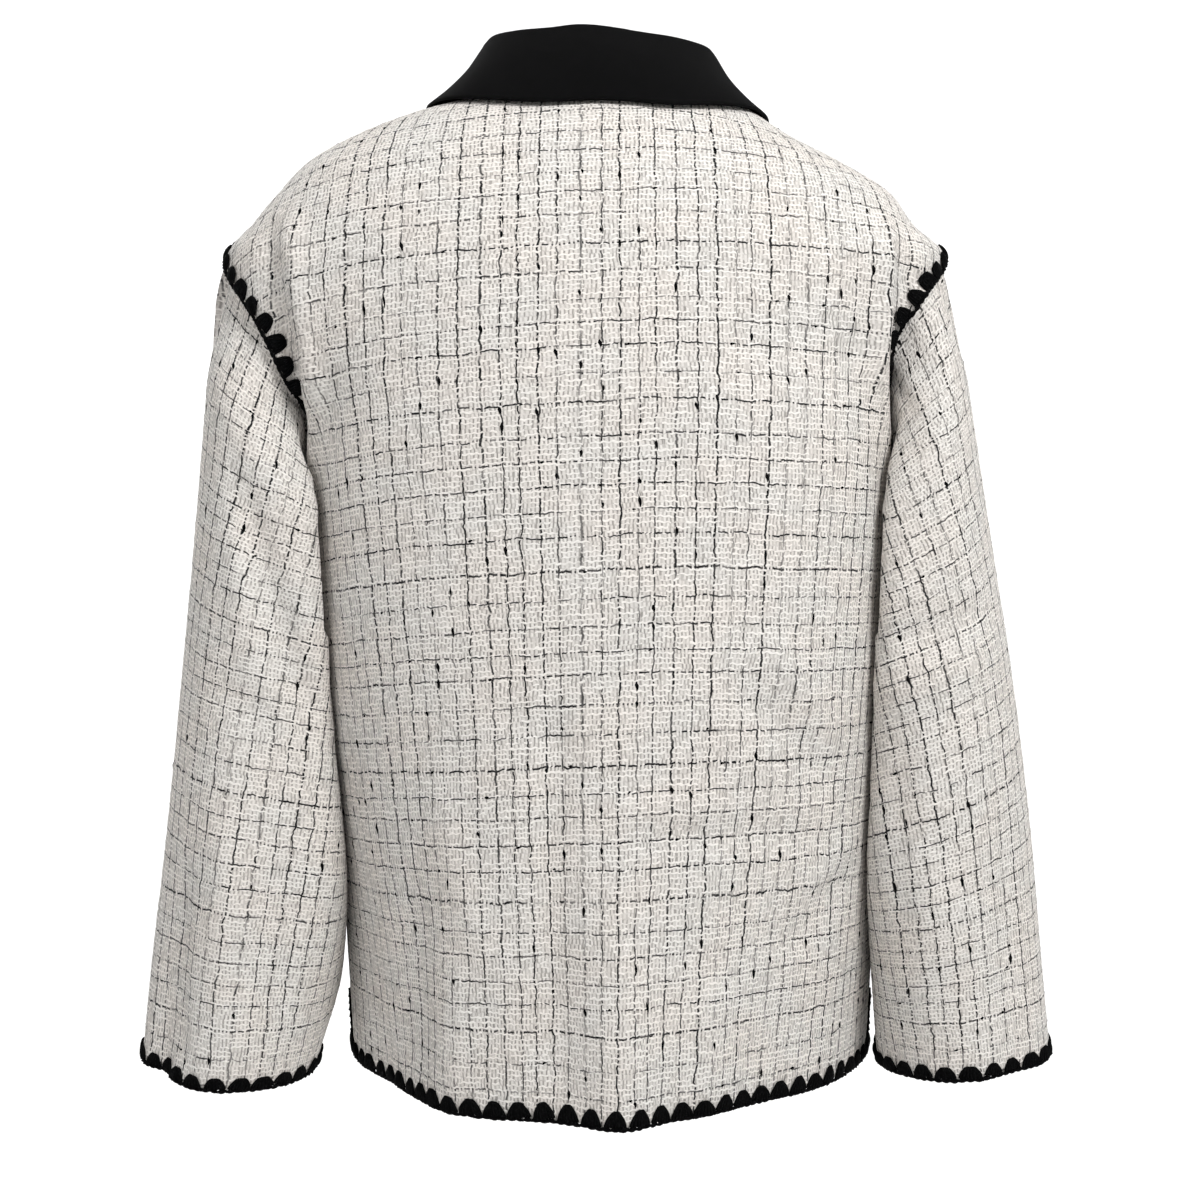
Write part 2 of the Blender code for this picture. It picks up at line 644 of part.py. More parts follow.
def collar_row(station, side, neck_edge, tree):
    """Section of the collar at a station, along the middle of its cloth: up the stand, over
    the fold and down the fall to its outer edge on the body."""
    stand = station[1] if side > 0 else station[2]
    lean, fold, left_x, right_x, edge_y, lift, swell = station[3:]
    point, normal, tangent = neck_edge
    across = unit(normal * (1, 1, 0))
    base = point - normal * TWEED_THICKNESS / 2 + tangent * COLLAR_SEAM
    top = base - across * lean + np.array([0, 0, stand])
    above = Vector((side * (left_x if side > 0 else right_x), edge_y, ABOVE_ALL))
    hit = np.array(tree.ray_cast(above, Vector((0, 0, -1)))[0])
    clearance = lift + COLLAR_THICKNESS / 2
    edge = keep_on_top(hit, tree, clearance)
    up = np.array([0, 0, 1])
    crest = top + across * fold * CREST_OUT + up * fold * CREST_UP
    far = top + across * fold - up * fold * FOLD_DROP
    bulge = (across + up) * swell
    fall = [keep_on_top(far + (edge - far) * share + bulge * amount, tree, clearance)
            for share, amount in FALL_PLACES]
    middle = base + (top - base) * 0.5
    return np.array([base, middle, top, crest, far] + fall + [edge])


def collar_grid(back, fronts, tree):
    """Rows of the collar from the left front end round the back to the right front end."""
    top, normals, below = (
        np.vstack([fronts[-1][k][r][::-1], back[k][r], fronts[1][k][r]])
        for k, r in ((0, -1), (1, -1), (0, -2)))
    tangents = unit(top - below)
    angles = np.degrees(np.arctan2(top[:, 0], top[:, 1]))
    table = np.array([row[1:] for row in COLLAR_STATIONS], float)
    table[:, 1:] *= MM
    steps = (len(COLLAR_STATIONS) - 1) * COLLAR_ROWS_PER_STATION
    rows = []
    for side in (1, -1):
        half = []
        for k in range(steps + 1):
            station = between(table, k / COLLAR_ROWS_PER_STATION)
            point, normal, tangent = (
                np.array([np.interp(side * station[0], angles, a[:, n]) for n in range(3)])
                for a in (top, normals, tangents))
            half.append(collar_row(station, side, (point, normal, tangent), tree))
        rows += half[::-1] if side > 0 else half[1:]
    return np.array(rows)


def sheet_normals(grid):
    along = np.gradient(grid, axis=0)
    across = np.gradient(grid, axis=1)
    return unit(np.cross(across, along))


# The jacket ---------------------------------------------------------------------------------

def main():
    clear_scene()
    collection = bpy.data.collections.new("cropped_tweed_jacket")
    bpy.context.scene.collection.children.link(collection)
    tweed = cloth_material("ivory_tweed", TWEED_COLOUR, 0.9)
    plain = cloth_material("black_collar_cloth", BLACK_COLOUR, 0.75)
    yarn = cloth_material("black_edging_yarn", BLACK_COLOUR, 0.85)

    levels = [Level(at) for at in panel_rows()]
    back = back_grid(levels)
    fronts = {side: front_grid(levels, side) for side in (1, -1)}
    wall("back", *back, TWEED_THICKNESS, tweed, collection)
    wall("front_left", *fronts[1], TWEED_THICKNESS, tweed, collection)
    wall("front_right", *fronts[-1], TWEED_THICKNESS, tweed, collection)
    body_tree = surface_tree((back[0], False, True), (fronts[1][0], False, True),
                             (fronts[-1][0], False, False))

    for side, word in ((1, "left"), (-1, "right")):
        loop, loop_out = armhole_loop(back, fronts[side], side)
        grid = sleeve_grid(loop, loop_out, side, body_tree)
        normals = loop_grid_normals(grid, 6)
        wall("sleeve_" + word, grid, normals, TWEED_THICKNESS, tweed, collection, closed=True)

        into_body = loop_frames(loop, loop_out, loop.mean(axis=0))
        edging("edging_armhole_" + word, loop, into_body, loop_out, body_tree, yarn,
               collection, closed=True, bent=True)

        cuff, cuff_out = grid[-1], normals[-1]
        up_sleeve = unit(grid[-2] - grid[-1])
        sleeve_tree = surface_tree((grid, True, side > 0))
        edging("edging_cuff_" + word, cuff, up_sleeve, cuff_out, sleeve_tree, yarn,
               collection, closed=True)

        front, front_out = fronts[side][0][:, -1].copy(), fronts[side][1][:, -1]
        into_front = unit(fronts[side][0][:, -2] - front)
        front[0] -= unit(front[1] - front[0]) * EDGING_OVERHANG
        edging("edging_front_" + word, front, into_front, front_out, body_tree, yarn,
               collection)

    corner = SCALLOP_HEIGHT + 2 * SEAM_GAP
    rows = [np.vstack([fronts[1][k][r][::-1], back[k][r][::-1], fronts[-1][k][r]])
            for k, r in ((0, 0), (1, 0), (0, 1))]
    hem, hem_out, above = (shorten(row, rows[0], corner) for row in rows)
    edging("edging_hem", hem, unit(above - hem), hem_out, body_tree, yarn, collection)

    collar = collar_grid(back, fronts, body_tree)
    normals = sheet_normals(collar)
    wall("collar", collar + normals * COLLAR_THICKNESS / 2, normals, COLLAR_THICKNESS,
         plain, collection)


main()
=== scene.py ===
import math
from collections import namedtuple

import bmesh
import bpy
import numpy as np
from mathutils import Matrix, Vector
from mathutils.bvhtree import BVHTree


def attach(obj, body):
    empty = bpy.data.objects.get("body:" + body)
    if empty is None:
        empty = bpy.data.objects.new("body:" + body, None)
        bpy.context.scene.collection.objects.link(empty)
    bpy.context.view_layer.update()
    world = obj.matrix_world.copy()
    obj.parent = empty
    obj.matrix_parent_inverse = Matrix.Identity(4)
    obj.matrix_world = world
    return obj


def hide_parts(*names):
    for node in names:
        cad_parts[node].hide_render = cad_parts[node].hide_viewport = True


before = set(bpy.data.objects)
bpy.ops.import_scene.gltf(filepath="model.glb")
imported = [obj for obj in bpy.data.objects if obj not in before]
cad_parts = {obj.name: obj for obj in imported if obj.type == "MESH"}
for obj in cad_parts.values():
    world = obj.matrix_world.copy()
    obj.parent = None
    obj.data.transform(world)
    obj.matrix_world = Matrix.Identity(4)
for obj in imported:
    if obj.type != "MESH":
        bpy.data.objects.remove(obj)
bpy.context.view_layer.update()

# A cropped tweed jacket in its worn shape. Metres, z up, the front at -y and the wearer's
# left at +x. The tables are in millimetres.
mm = 0.001
sides = ((1, "left"), (-1, "right"))


# small helpers

def ease(t):
    t = np.clip(t, 0.0, 1.0)
    return t * t * (3 - 2 * t)


def unit(vectors):
    lengths = np.linalg.norm(vectors, axis=-1, keepdims=True)
    return vectors / np.maximum(lengths, 1e-12)


def between(rows, at):
    # a smooth curve through equally spaced rows of numbers
    rows = np.asarray(rows, float)
    last = len(rows) - 1
    at = min(max(at, 0.0), float(last))
    k = min(int(at), last - 1)
    t = at - k
    start, end = rows[k], rows[k + 1]
    into = (end - rows[k - 1]) / 2 if k > 0 else end - start
    out = (rows[k + 2] - start) / 2 if k + 2 <= last else end - start
    return ((2 * t**3 - 3 * t**2 + 1) * start + (t**3 - 2 * t**2 + t) * into
            + (3 * t**2 - 2 * t**3) * end + (t**3 - t**2) * out)


def columnsAt(values, places, wanted):
    return np.stack([np.interp(wanted, places, values[:, k]) for k in range(values.shape[1])],
                    axis=-1)


def lengthAlong(path):
    return np.concatenate([[0], np.cumsum(np.linalg.norm(np.diff(path, axis=0), axis=1))])


# the body's surface

# x and z of the widest point on each side, y of that point, y and z of the middle of the
# back and of the front, how square the halves are, y of the side or shoulder seam, and how
# far the armhole's edge lies behind and in front of the seam
Ring = namedtuple(
    "Ring", "name leftX leftZ rightX rightZ wideY backY backZ frontY frontZ "
            "backSquare frontSquare seamY holeBackLeft holeBackRight holeFront")
bodyRings = [
    Ring("hem",        173, -640, 187, -640, -60, 134, -640, -124, -640, 1.85, 2.5, -20, 0, 0, 0),
    Ring("hip",        175, -552, 188, -552, -42, 135, -552, -126, -552, 1.95, 2.5, -14, 0, 0, 0),
    Ring("waist",      181, -455, 188, -455, -25, 134, -455, -128, -455, 2.10, 2.5, -8, 0, 0, 0),
    Ring("midriff",    185, -365, 188, -365, -10, 132, -365, -131, -365, 2.25, 2.5, -4, 0, 0, 0),
    Ring("underarm",   187, -280, 188, -280,   0, 129, -283, -134, -287, 2.40, 2.5, 0, 0, 0, 0),
    Ring("armholeLow", 188, -243, 187, -240,   3, 128, -247, -134, -253, 2.45, 2.5, 3, 22, 18, 46),
    Ring("armhole",    192, -207, 187, -203,   7, 127, -215, -131, -223, 2.35, 2.5, 7, 34, 26, 62),
    Ring("armholeUp",  217, -176, 194, -171, 10, 125, -187, -127, -196, 2.10, 2.5, 10, 46, 40, 68),
    Ring("armholeTop", 242, -142, 216, -138, 12, 122, -159, -121, -172, 2.00, 2.5, 12, 42, 42, 54),
    Ring("tip",        246, -107, 227, -107,  12, 118, -131, -114, -150, 2.05, 2.5, 12, 0, 0, 0),
    Ring("shoulderA",  229,  -86, 207,  -87,  11, 113, -107, -107, -133, 2.20, 2.4, 11, 0, 0, 0),
    Ring("shoulderB",  212,  -65, 191,  -65,   9, 107,  -84, -100, -118, 2.25, 2.3, 9, 0, 0, 0),
    Ring("shoulderC",  193,  -44, 160,  -45,   6,  99,  -62,  -93, -104, 2.25, 2.2, 6, 0, 0, 0),
    Ring("shoulderD",  161,  -25, 127,  -27,   3,  89,  -42,  -87,  -92, 2.20, 2.1, 3, 0, 0, 0),
    Ring("shoulderE",  124,  -10, 106,  -12,   1,  76,  -24,  -82,  -83, 2.10, 2.05, 1, 0, 0, 0),
    Ring("neck",        86,    0,  86,    0,   0,  60,   -8,  -78,  -76, 2.00, 2.0, 0, 0, 0, 0),
]
underarmLevel, tipLevel, neckLevel = 4, 9, 15

# soft folds of the whole body: angle round the body at the top and at the hem, 0 at the
# middle of the back and 90 at the left side, then spread, depth at the hem and z of the top
Fold = namedtuple("Fold", "name topAngle hemAngle spread depth topZ")
bodyFolds = [
    Fold("backMiddle",     -3,   -5,  9,  13, -430),
    Fold("backLeft",       30,   38, 14,  10, -400),
    Fold("backRight",     -38,  -46, 15,  -7, -360),
    Fold("sideLeft",       78,   72, 10,  -4, -330),
    Fold("frontLeftIn",   118,  122, 12,  -8, -340),
    Fold("frontLeftOut",  140,  146, 10,  10, -300),
    Fold("frontRightIn", -116, -118, 12,  -7, -330),
    Fold("frontRightOut", -142, -150, 10,  9, -290),
]

cut = {
    "tweedThickness": 2.0 * mm,
    "unevenness": 0.12 * mm,
    "collarThickness": 2.2 * mm,
    "seamGap": 0.3 * mm,
    "edgeTurn": 0.45,
    "frontGapNeck": 10.0 * mm,
    "frontGapHem": 18.0 * mm,
}
fineness = {
    "ringSamples": 721,
    "backColumns": 118,
    "frontColumns": 62,
    "bodyRows": 100,
    "armholeRows": 48,
    "shoulderRows": 44,
    "crowding": 0.45,
}

ringTable = np.array([row[1:] for row in bodyRings], float)
ringTable[:, :9] *= mm
ringTable[:, 11:] *= mm
holeTable = ringTable[:, 12:] ** 2
hemZ, underarmZ = ringTable[0, 1], ringTable[underarmLevel, 1]
middleSample = fineness["ringSamples"] // 2


def bump(angles, middle, spread):
    # a rounded bump round a ring, 1 at its middle
    away = (angles - middle + 180) % 360 - 180
    return np.exp(-(away / spread) ** 2)


def foldOffset(angle, z):
    total = np.zeros_like(angle)
    for fold in bodyFolds:
        grown = ease((fold.topZ * mm - z) / (fold.topZ * mm - hemZ))
        middle = fold.topAngle + (fold.hemAngle - fold.topAngle) * grown
        total += fold.depth * mm * grown * bump(angle, middle, fold.spread)
    return total


def ringBase(at):
    # the whole ring at a level, from the middle of the front round the right, back and left
    (leftX, leftZ, rightX, rightZ, wideY, backY, backZ, frontY, frontZ,
     backSquare, frontSquare) = between(ringTable, at)[:11]
    turn = np.radians(np.linspace(-180, 180, fineness["ringSamples"]))
    left, behind = turn >= 0, np.abs(turn) <= math.pi / 2
    square = np.where(behind, backSquare, frontSquare)
    across, along = np.abs(np.sin(turn)), np.abs(np.cos(turn))
    radius = (across ** square + along ** square) ** (-1 / square)
    across, along = across * radius, along * radius
    sideX, sideZ = np.where(left, leftX, -rightX), np.where(left, leftZ, rightZ)
    middleY, middleZ = np.where(behind, backY, frontY), np.where(behind, backZ, frontZ)
    return np.stack([sideX * across, wideY + (middleY - wideY) * along,
                     sideZ + (middleZ - sideZ) * along ** 1.5], axis=1)


def ringPoints(at):
    points = ringBase(at)
    angle = np.degrees(np.arctan2(points[:, 0], points[:, 1]))
    points[:, :2] += unit(points[:, :2]) * foldOffset(angle, points[:, 2])[:, None]
    return points


class Level:
    # one level round the body, measured along its length from the middle of the back
    def __init__(self, at):
        self.at = at
        self.points = ringPoints(at)
        self.base = ringBase(at)
        self.run = lengthAlong(self.points)
        self.run -= self.run[middleSample]

    def half(self, side):
        return slice(middleSample, None) if side > 0 else slice(middleSample, None, -1)

    def runAtY(self, side, y):
        part = self.half(side)
        return np.interp(-y, -self.base[part, 1], self.run[part])

    def runAtFront(self, side, x):
        part = self.half(side)
        quarter = fineness["ringSamples"] // 4
        return np.interp(-x, -np.abs(self.base[part, 0][quarter:]), self.run[part][quarter:])

    def sample(self, runs):
        return columnsAt(self.points, self.run, runs)


def armholeReach(at):
    if not underarmLevel < at < tipLevel:
        return np.zeros(3)
    return np.sqrt(np.maximum(between(holeTable, at), 0))


def panelLevels():
    body = list(np.linspace(0, underarmLevel, fineness["bodyRows"] + 1))
    count = fineness["armholeRows"]
    shares = [(1 - math.cos(math.pi * k / count)) / 2 for k in range(1, count + 1)]
    hole = [underarmLevel + share * (tipLevel - underarmLevel) for share in shares]
    top = list(np.linspace(tipLevel, neckLevel, fineness["shoulderRows"] + 1))[1:]
    return [Level(at) for at in body + hole + top]


def crowded(count, start, end):
    even = np.linspace(0, 1, count + 1)
    if start and end:
        packed = (1 - np.cos(math.pi * even)) / 2
    else:
        packed = 1 - np.cos(math.pi / 2 * even) if start else np.sin(math.pi / 2 * even)
    return (1 - fineness["crowding"]) * even + fineness["crowding"] * packed


def backRuns(level):
    seamY = between(ringTable, level.at)[11]
    reach = armholeReach(level.at)
    left = level.runAtY(1, seamY + reach[0]) - cut["seamGap"] / 2
    right = level.runAtY(-1, seamY + reach[1]) + cut["seamGap"] / 2
    return right + (left - right) * crowded(fineness["backColumns"], True, True), 0.0


def frontRuns(level, side):
    share = level.at / neckLevel
    gap = cut["frontGapHem"] + (cut["frontGapNeck"] - cut["frontGapHem"]) * share
    opening = level.runAtFront(side, gap / 2)
    seamY = between(ringTable, level.at)[11]
    edge = level.runAtY(side, seamY - armholeReach(level.at)[2]) + side * cut["seamGap"] / 2
    return edge + (opening - edge) * crowded(fineness["frontColumns"], True, False), opening


def grainLengths(levels, starts):
    # length of cloth above the hem along each warp yarn, and the runs of those yarns
    yarns = np.arange(-0.40, 0.4001, 0.004)
    rows = [level.sample(start + yarns) for level, start in zip(levels, starts)]
    steps = np.linalg.norm(np.diff(rows, axis=0), axis=2)
    return yarns, np.vstack([np.zeros(len(yarns)), np.cumsum(steps, axis=0)])


def panel(levels, runsOf, *which):
    # points of a panel, and its flat pattern: u across the grain and v above the hem
    found = [runsOf(level, *which) for level in levels]
    points = np.array([level.sample(runs) for level, (runs, start) in zip(levels, found)])
    yarns, heights = grainLengths(levels, [start for runs, start in found])
    u = np.array([runs - start for runs, start in found])
    v = np.array([np.interp(row, yarns, height) for row, height in zip(u, heights)])
    return points, np.stack([u, v], axis=-1)


def addObject(name, data):
    made = bpy.data.objects.new(name, data)
    bpy.context.scene.collection.objects.link(made)
    return made


# building cloth

# a crease runs from one place to another on the back (1) or the front (-1) of a piece. x and
# z of its ends, width, depth (a ridge is positive) and how far it bows sideways
Crease = namedtuple("Crease", "name face x0 z0 x1 z1 width depth bow")
# how much deeper creases are than the tables say, the share of its length over which a crease
# fades in and out, what is left of it at its end, and how fast it fades as the cloth turns away
creaseShape = {"strength": 1.35, "fade": 0.35, "left": 0.3, "turning": 2.5}
nubs = np.random.default_rng(5)


def gridNormals(grid, closed=False):
    if closed:
        around = np.roll(grid, -1, axis=1) - np.roll(grid, 1, axis=1)
    else:
        around = np.gradient(grid, axis=1)
    return unit(np.cross(around, np.gradient(grid, axis=0)))


def outwardNormals(grid, centre, closed=False):
    normals = gridNormals(grid, closed)
    return normals * np.sign(np.sum(normals * (grid - centre)))


def creased(grid, normals, creases):
    shape = creaseShape
    offset = nubs.normal(0, cut["unevenness"], grid.shape[:2])
    for crease in creases:
        start = np.array([crease.x0, crease.z0]) * mm
        end = np.array([crease.x1, crease.z1]) * mm
        length = np.linalg.norm(end - start)
        ahead = (end - start) / length
        place = grid[:, :, [0, 2]] - start
        along = place @ ahead / length
        inside = np.clip(along, 0, 1)
        side = place @ np.array([-ahead[1], ahead[0]])
        side -= crease.bow * mm * 4 * inside * (1 - inside)
        past = (along - inside) * length
        width = crease.width * mm
        facing = ease(crease.face * normals[:, :, 1] * shape["turning"] + shape["left"])
        fade = (ease(along / shape["fade"] + shape["left"])
                * ease((1 - along) / shape["fade"] + shape["left"]))
        offset += (shape["strength"] * crease.depth * mm
                   * np.exp(-(side / width) ** 2 - (past / width) ** 2) * fade * facing)
    return grid + normals * offset[:, :, None]


def addMesh(name, points, faces, uvs, material):
    mesh = bpy.data.meshes.new(name)
    mesh.from_pydata([tuple(p) for p in points], [], [tuple(f) for f in faces])
    if uvs is not None:
        layer = mesh.uv_layers.new(name="grain")
        layer.data.foreach_set("uv", np.asarray(uvs, np.float32).ravel())
    mesh.shade_smooth()
    if material:
        mesh.materials.append(material)
    return addObject(name, mesh)


def gridQuads(rows, columns, closed):
    spans = columns if closed else columns - 1
    r, c = np.meshgrid(np.arange(rows - 1), np.arange(spans), indexing="ij")
    d = (c + 1) % columns
    corners = np.stack([r * columns + c, r * columns + d, (r + 1) * columns + d,
                        (r + 1) * columns + c], axis=-1).reshape(-1, 4)
    wide = spans + 1
    flats = np.stack([r * wide + c, r * wide + c + 1, (r + 1) * wide + c + 1,
                      (r + 1) * wide + c], axis=-1).reshape(-1, 4)
    return corners, flats


def boundary(rows, columns, closed):
    # runs of grid places along the free edges, each with the place next to it inside
    if closed:
        return [([(r, c % columns) for c in range(columns + 1)], inner)
                for r, inner in ((0, 1), (rows - 1, rows - 2))]
    loop = ([(0, c) for c in range(columns)] + [(r, columns - 1) for r in range(1, rows)]
            + [(rows - 1, c) for c in range(columns - 2, -1, -1)]
            + [(r, 0) for r in range(rows - 2, -1, -1)])
    return [(loop, None)]


def clothWall(name, outer, normals, flat, thickness, material, closed=False):
    # outer face, inner face and a turned edge between them. flat has one column more than
    # the points on a piece that closes round
    rows, columns = outer.shape[:2]
    inner = outer - normals * thickness
    points = [outer.reshape(-1, 3), inner.reshape(-1, 3)]
    count = rows * columns
    corners, flats = gridQuads(rows, columns, closed)
    flatPoints = flat.reshape(-1, 2)
    faces, uvs = [corners, corners[:, ::-1] + count], [flatPoints[flats],
                                                       flatPoints[flats[:, ::-1]]]
    rimStart = 2 * count
    for loop, insideRow in boundary(rows, columns, closed):
        places = np.array(loop)
        r, c = places[:, 0], places[:, 1]
        if closed:
            back = outer[insideRow, c]
            flatColumn = np.arange(len(loop))
        else:
            back = outer[np.clip(r, 1, rows - 2), np.clip(c, 1, columns - 2)]
            flatColumn = c
        out = unit(outer[r, c] - back)
        rim = (outer[r, c] + inner[r, c]) / 2 + out * thickness * cut["edgeTurn"]
        points.append(rim[:-1])
        a = r * columns + c
        m = rimStart + np.arange(len(loop))
        m[-1] = rimStart
        rimStart += len(loop) - 1
        uv = flat[r, flatColumn]
        faces.append(np.stack([a[:-1], a[1:], m[1:], m[:-1]], axis=-1))
        faces.append(np.stack([m[:-1], m[1:], a[1:] + count, a[:-1] + count], axis=-1))
        uvs += [np.stack([uv[:-1], uv[1:], uv[1:], uv[:-1]], axis=1)] * 2
    piece = addMesh(name, np.vstack(points), np.vstack(faces), np.vstack(uvs), material)
    makeOutward(piece)
    return piece


def makeOutward(piece):
    build = bmesh.new()
    build.from_mesh(piece.data)
    bmesh.ops.recalc_face_normals(build, faces=build.faces)
    build.to_mesh(piece.data)
    build.free()


def surfaceTree(*grids):
    points, faces = [], []
    for grid, normals, closed in grids:
        corners, _ = gridQuads(*grid.shape[:2], closed)
        flatGrid, flatNormals = grid.reshape(-1, 3), normals.reshape(-1, 3)
        a, b, c = (flatGrid[corners[:, k]] for k in range(3))
        turned = np.sum(np.cross(b - a, c - b) * flatNormals[corners[:, 0]], axis=1) < 0
        corners = np.where(turned[:, None], corners[:, ::-1], corners)
        faces += [tuple(face) for face in corners + len(points)]
        points += [Vector(p) for p in flatGrid]
    return BVHTree.FromPolygons(points, faces)


def keepOnTop(point, tree, clearance):
    for _ in range(2):
        near, normal = tree.find_nearest(Vector(point))[:2]
        out = np.array(normal)
        height = np.dot(point - np.array(near), out)
        if height < clearance:
            point = point + out * (clearance - height)
    return point


# cloth and yarn

# lines of dark yarn cross the cloth at uneven steps: their number at a place is the place
# over their pitch plus two slow waves, each with a size, a length and a start. Lengths are
# in millimetres, and a pair of numbers is where something starts and where it is whole
Lines = namedtuple("Lines", "pitch sizeA lengthA startA sizeB lengthB startB")
tweedLook = {
    "warpPitch": 2.4,
    "weftPitch": 3.1,
    "wander": 3.0,
    "wanderLength": 16.0,
    "fineWander": 1.0,
    "fineLength": 4.5,
    "warpLines": Lines(11.0, 0.055, 27.0, 0.4, 0.10, 63.0, 1.9),
    "weftLines": Lines(16.4, 0.050, 41.0, 2.1, 0.14, 97.0, 0.7),
    "warpLineWidth": 0.52,
    "weftLineWidth": 0.46,
    "kink": 2.2,
    "fineKink": 1.3,
    "shift": 0.5,
    "blockLoops": 5,
    "zigzag": 0.11,
    "bandShift": 0.14,
    "bandEdge": (0.44, 0.82),
    "bandChance": (1.0, 0.5),
    "pieceLoops": 0.6,
    "loopSides": (0.86, 0.20),
    "loopEnds": (1.05, 0.45),
    # loopLight is the least brightness of the painted lit loop tops and how much chance adds to it
    "loopLight": (0.30, 0.50),
    # gapSides, gapBesideBand and gapChance place the gaps between loops, whose colour is painted
    # shade
    "gapSides": (0.55, 0.95),
    "gapBesideBand": (0.7, 0.1),
    "gapChance": (0.12, 0.55),
    "heights": (0.75, 0.5, 0.4),
    "lineLuck": 0.30,
    "lineStrength": (0.38, 0.72),
    "lineDepth": (0.44, 0.74),
    "lineSwell": (0.15, 0.42),
    "underBand": (0.45, 0.75),
    "besideLoop": (0.4, 0.8),
    "warpHidden": 0.52,
    "weftHidden": 0.48,
    "warpFaint": 0.50,
    "weftFaint": 0.42,
    "patchSize": 42.0,
    "patchEdge": (0.35, 0.65),
    # ivory is the yarn where it is painted as lit, and shadedIvory the same yarn with painted
    # shade
    "ivory": (0.92, 0.882, 0.838),
    "shadedIvory": (0.60, 0.568, 0.535),
    # gap is the painted shade colour in the hollows between loops
    "gap": (0.39, 0.365, 0.34),
    "lineDark": (0.008, 0.008, 0.009),
    "lineGrey": (0.085, 0.083, 0.08),
    "warmTint": (1.01, 0.996, 0.985),
    "coolTint": (0.985, 0.995, 0.998),
    "bumpHeight": 0.0005,
    "finish": {"Roughness": 0.92, "Specular IOR Level": 0.2, "Sheen Weight": 0.10,
               "Sheen Roughness": 0.5},
}


def lineNumber(lines, place):
    return (place / lines.pitch
            + lines.sizeA * np.sin(2 * math.pi * place / lines.lengthA + lines.startA)
            + lines.sizeB * np.sin(2 * math.pi * place / lines.lengthB + lines.startB))


class Graph:
    # adds nodes to a tree by calls, with sockets or numbers as their values
    def __init__(self, tree):
        self.tree = tree

    def fill(self, socket, value):
        if isinstance(value, bpy.types.NodeSocket):
            self.tree.links.new(value, socket)
        elif hasattr(value, "__len__") and len(value) == 3 and socket.type == "RGBA":
            socket.default_value = (*value, 1.0)
        else:
            socket.default_value = value

    def node(self, kind, inputs=(), **settings):
        made = self.tree.nodes.new(kind)
        for key, value in settings.items():
            setattr(made, key, value)
        for key, value in dict(inputs).items():
            self.fill(made.inputs[key], value)
        return made

    def math(self, operation, *values, clamp=False):
        made = self.node("ShaderNodeMath", operation=operation, use_clamp=clamp)
        for k, value in enumerate(values):
            self.fill(made.inputs[k], value)
        return made.outputs[0]

    def add(self, a, b):
        return self.math("ADD", a, b)

    def times(self, a, b):
        return self.math("MULTIPLY", a, b)

    def minus(self, a, b):
        return self.math("SUBTRACT", a, b)

    def smooth(self, value, low, high):
        # 0 below low and 1 above high, or the other way round
        made = self.node("ShaderNodeMapRange", {"Value": value, "From Min": low,
                                                "From Max": high},
                         interpolation_type="SMOOTHSTEP")
        return made.outputs["Result"]

    def join(self, x, y, z=0.0):
        return self.node("ShaderNodeCombineXYZ", {"X": x, "Y": y, "Z": z}).outputs[0]

    def noise(self, vector, scale, detail=1.0, rough=0.5):
        made = self.node("ShaderNodeTexNoise", {"Vector": vector, "Scale": scale,
                                                "Detail": detail, "Roughness": rough})
        return made.outputs["Fac"]

    def chance(self, vector):
        return self.node("ShaderNodeTexWhiteNoise", {"Vector": vector},
                         noise_dimensions="3D").outputs["Value"]

    def mix(self, share, a, b, blend="MIX"):
        made = self.node("ShaderNodeMix", data_type="RGBA", blend_type=blend)
        self.fill(made.inputs[0], share)
        self.fill(made.inputs[6], a)
        self.fill(made.inputs[7], b)
        return made.outputs[2]

    def blend(self, share, a, b):
        made = self.node("ShaderNodeMix", data_type="FLOAT")
        self.fill(made.inputs[0], share)
        self.fill(made.inputs[2], a)
        self.fill(made.inputs[3], b)
        return made.outputs[0]


class Growth(Graph):
    # the graph of a Geometry Nodes tree with named inputs
    def __init__(self, name, inputs):
        super().__init__(bpy.data.node_groups.new(name, "GeometryNodeTree"))
        for key, kind in {"Geometry": "Geometry", **inputs}.items():
            self.tree.interface.new_socket(key, in_out="INPUT",
                                           socket_type="NodeSocket" + kind)
        self.tree.interface.new_socket("Geometry", in_out="OUTPUT",
                                       socket_type="NodeSocketGeometry")
        self.given = self.node("NodeGroupInput").outputs

    def vectors(self, operation, *values, **named):
        made = self.node("ShaderNodeVectorMath", {**dict(enumerate(values)), **named},
                         operation=operation)
        return made.outputs[0]

    def luck(self, low, high, seed):
        return self.node("FunctionNodeRandomValue", {0: low, 1: high, "Seed": seed},
                         data_type="FLOAT_VECTOR").outputs[0]

    def copies(self, points, thing, turn, size):
        info = self.node("GeometryNodeObjectInfo", {"Object": thing})
        return self.node("GeometryNodeInstanceOnPoints", {
            "Points": points, "Instance": info.outputs["Geometry"], "Rotation": turn,
            "Scale": size}).outputs[0]

    def finish(self, geometry):
        real = self.node("GeometryNodeRealizeInstances", {0: geometry}).outputs[0]
        dressed = self.node("GeometryNodeSetMaterial", {"Geometry": real,
                                                        "Material": self.given["Yarn"]})
        self.node("NodeGroupOutput", {0: dressed.outputs[0]})
        return self.tree


def grown(name, start, tree, inputs):
    # runs a tree on a mesh and keeps what it makes as a plain mesh
    carrier = addObject(name + "Maker", start)
    maker = carrier.modifiers.new("make", "NODES")
    maker.node_group = tree
    sockets = {item.name: item.identifier for item in tree.interface.items_tree
               if item.item_type == "SOCKET" and item.in_out == "INPUT"}
    for key, value in inputs.items():
        maker[sockets[key]] = value
    bpy.context.view_layer.update()
    mesh = bpy.data.meshes.new_from_object(
        carrier.evaluated_get(bpy.context.evaluated_depsgraph_get()))
    bpy.data.objects.remove(carrier)
    bpy.data.meshes.remove(start)
    mesh.name = name
    mesh.shade_smooth()
    return addObject(name, mesh)


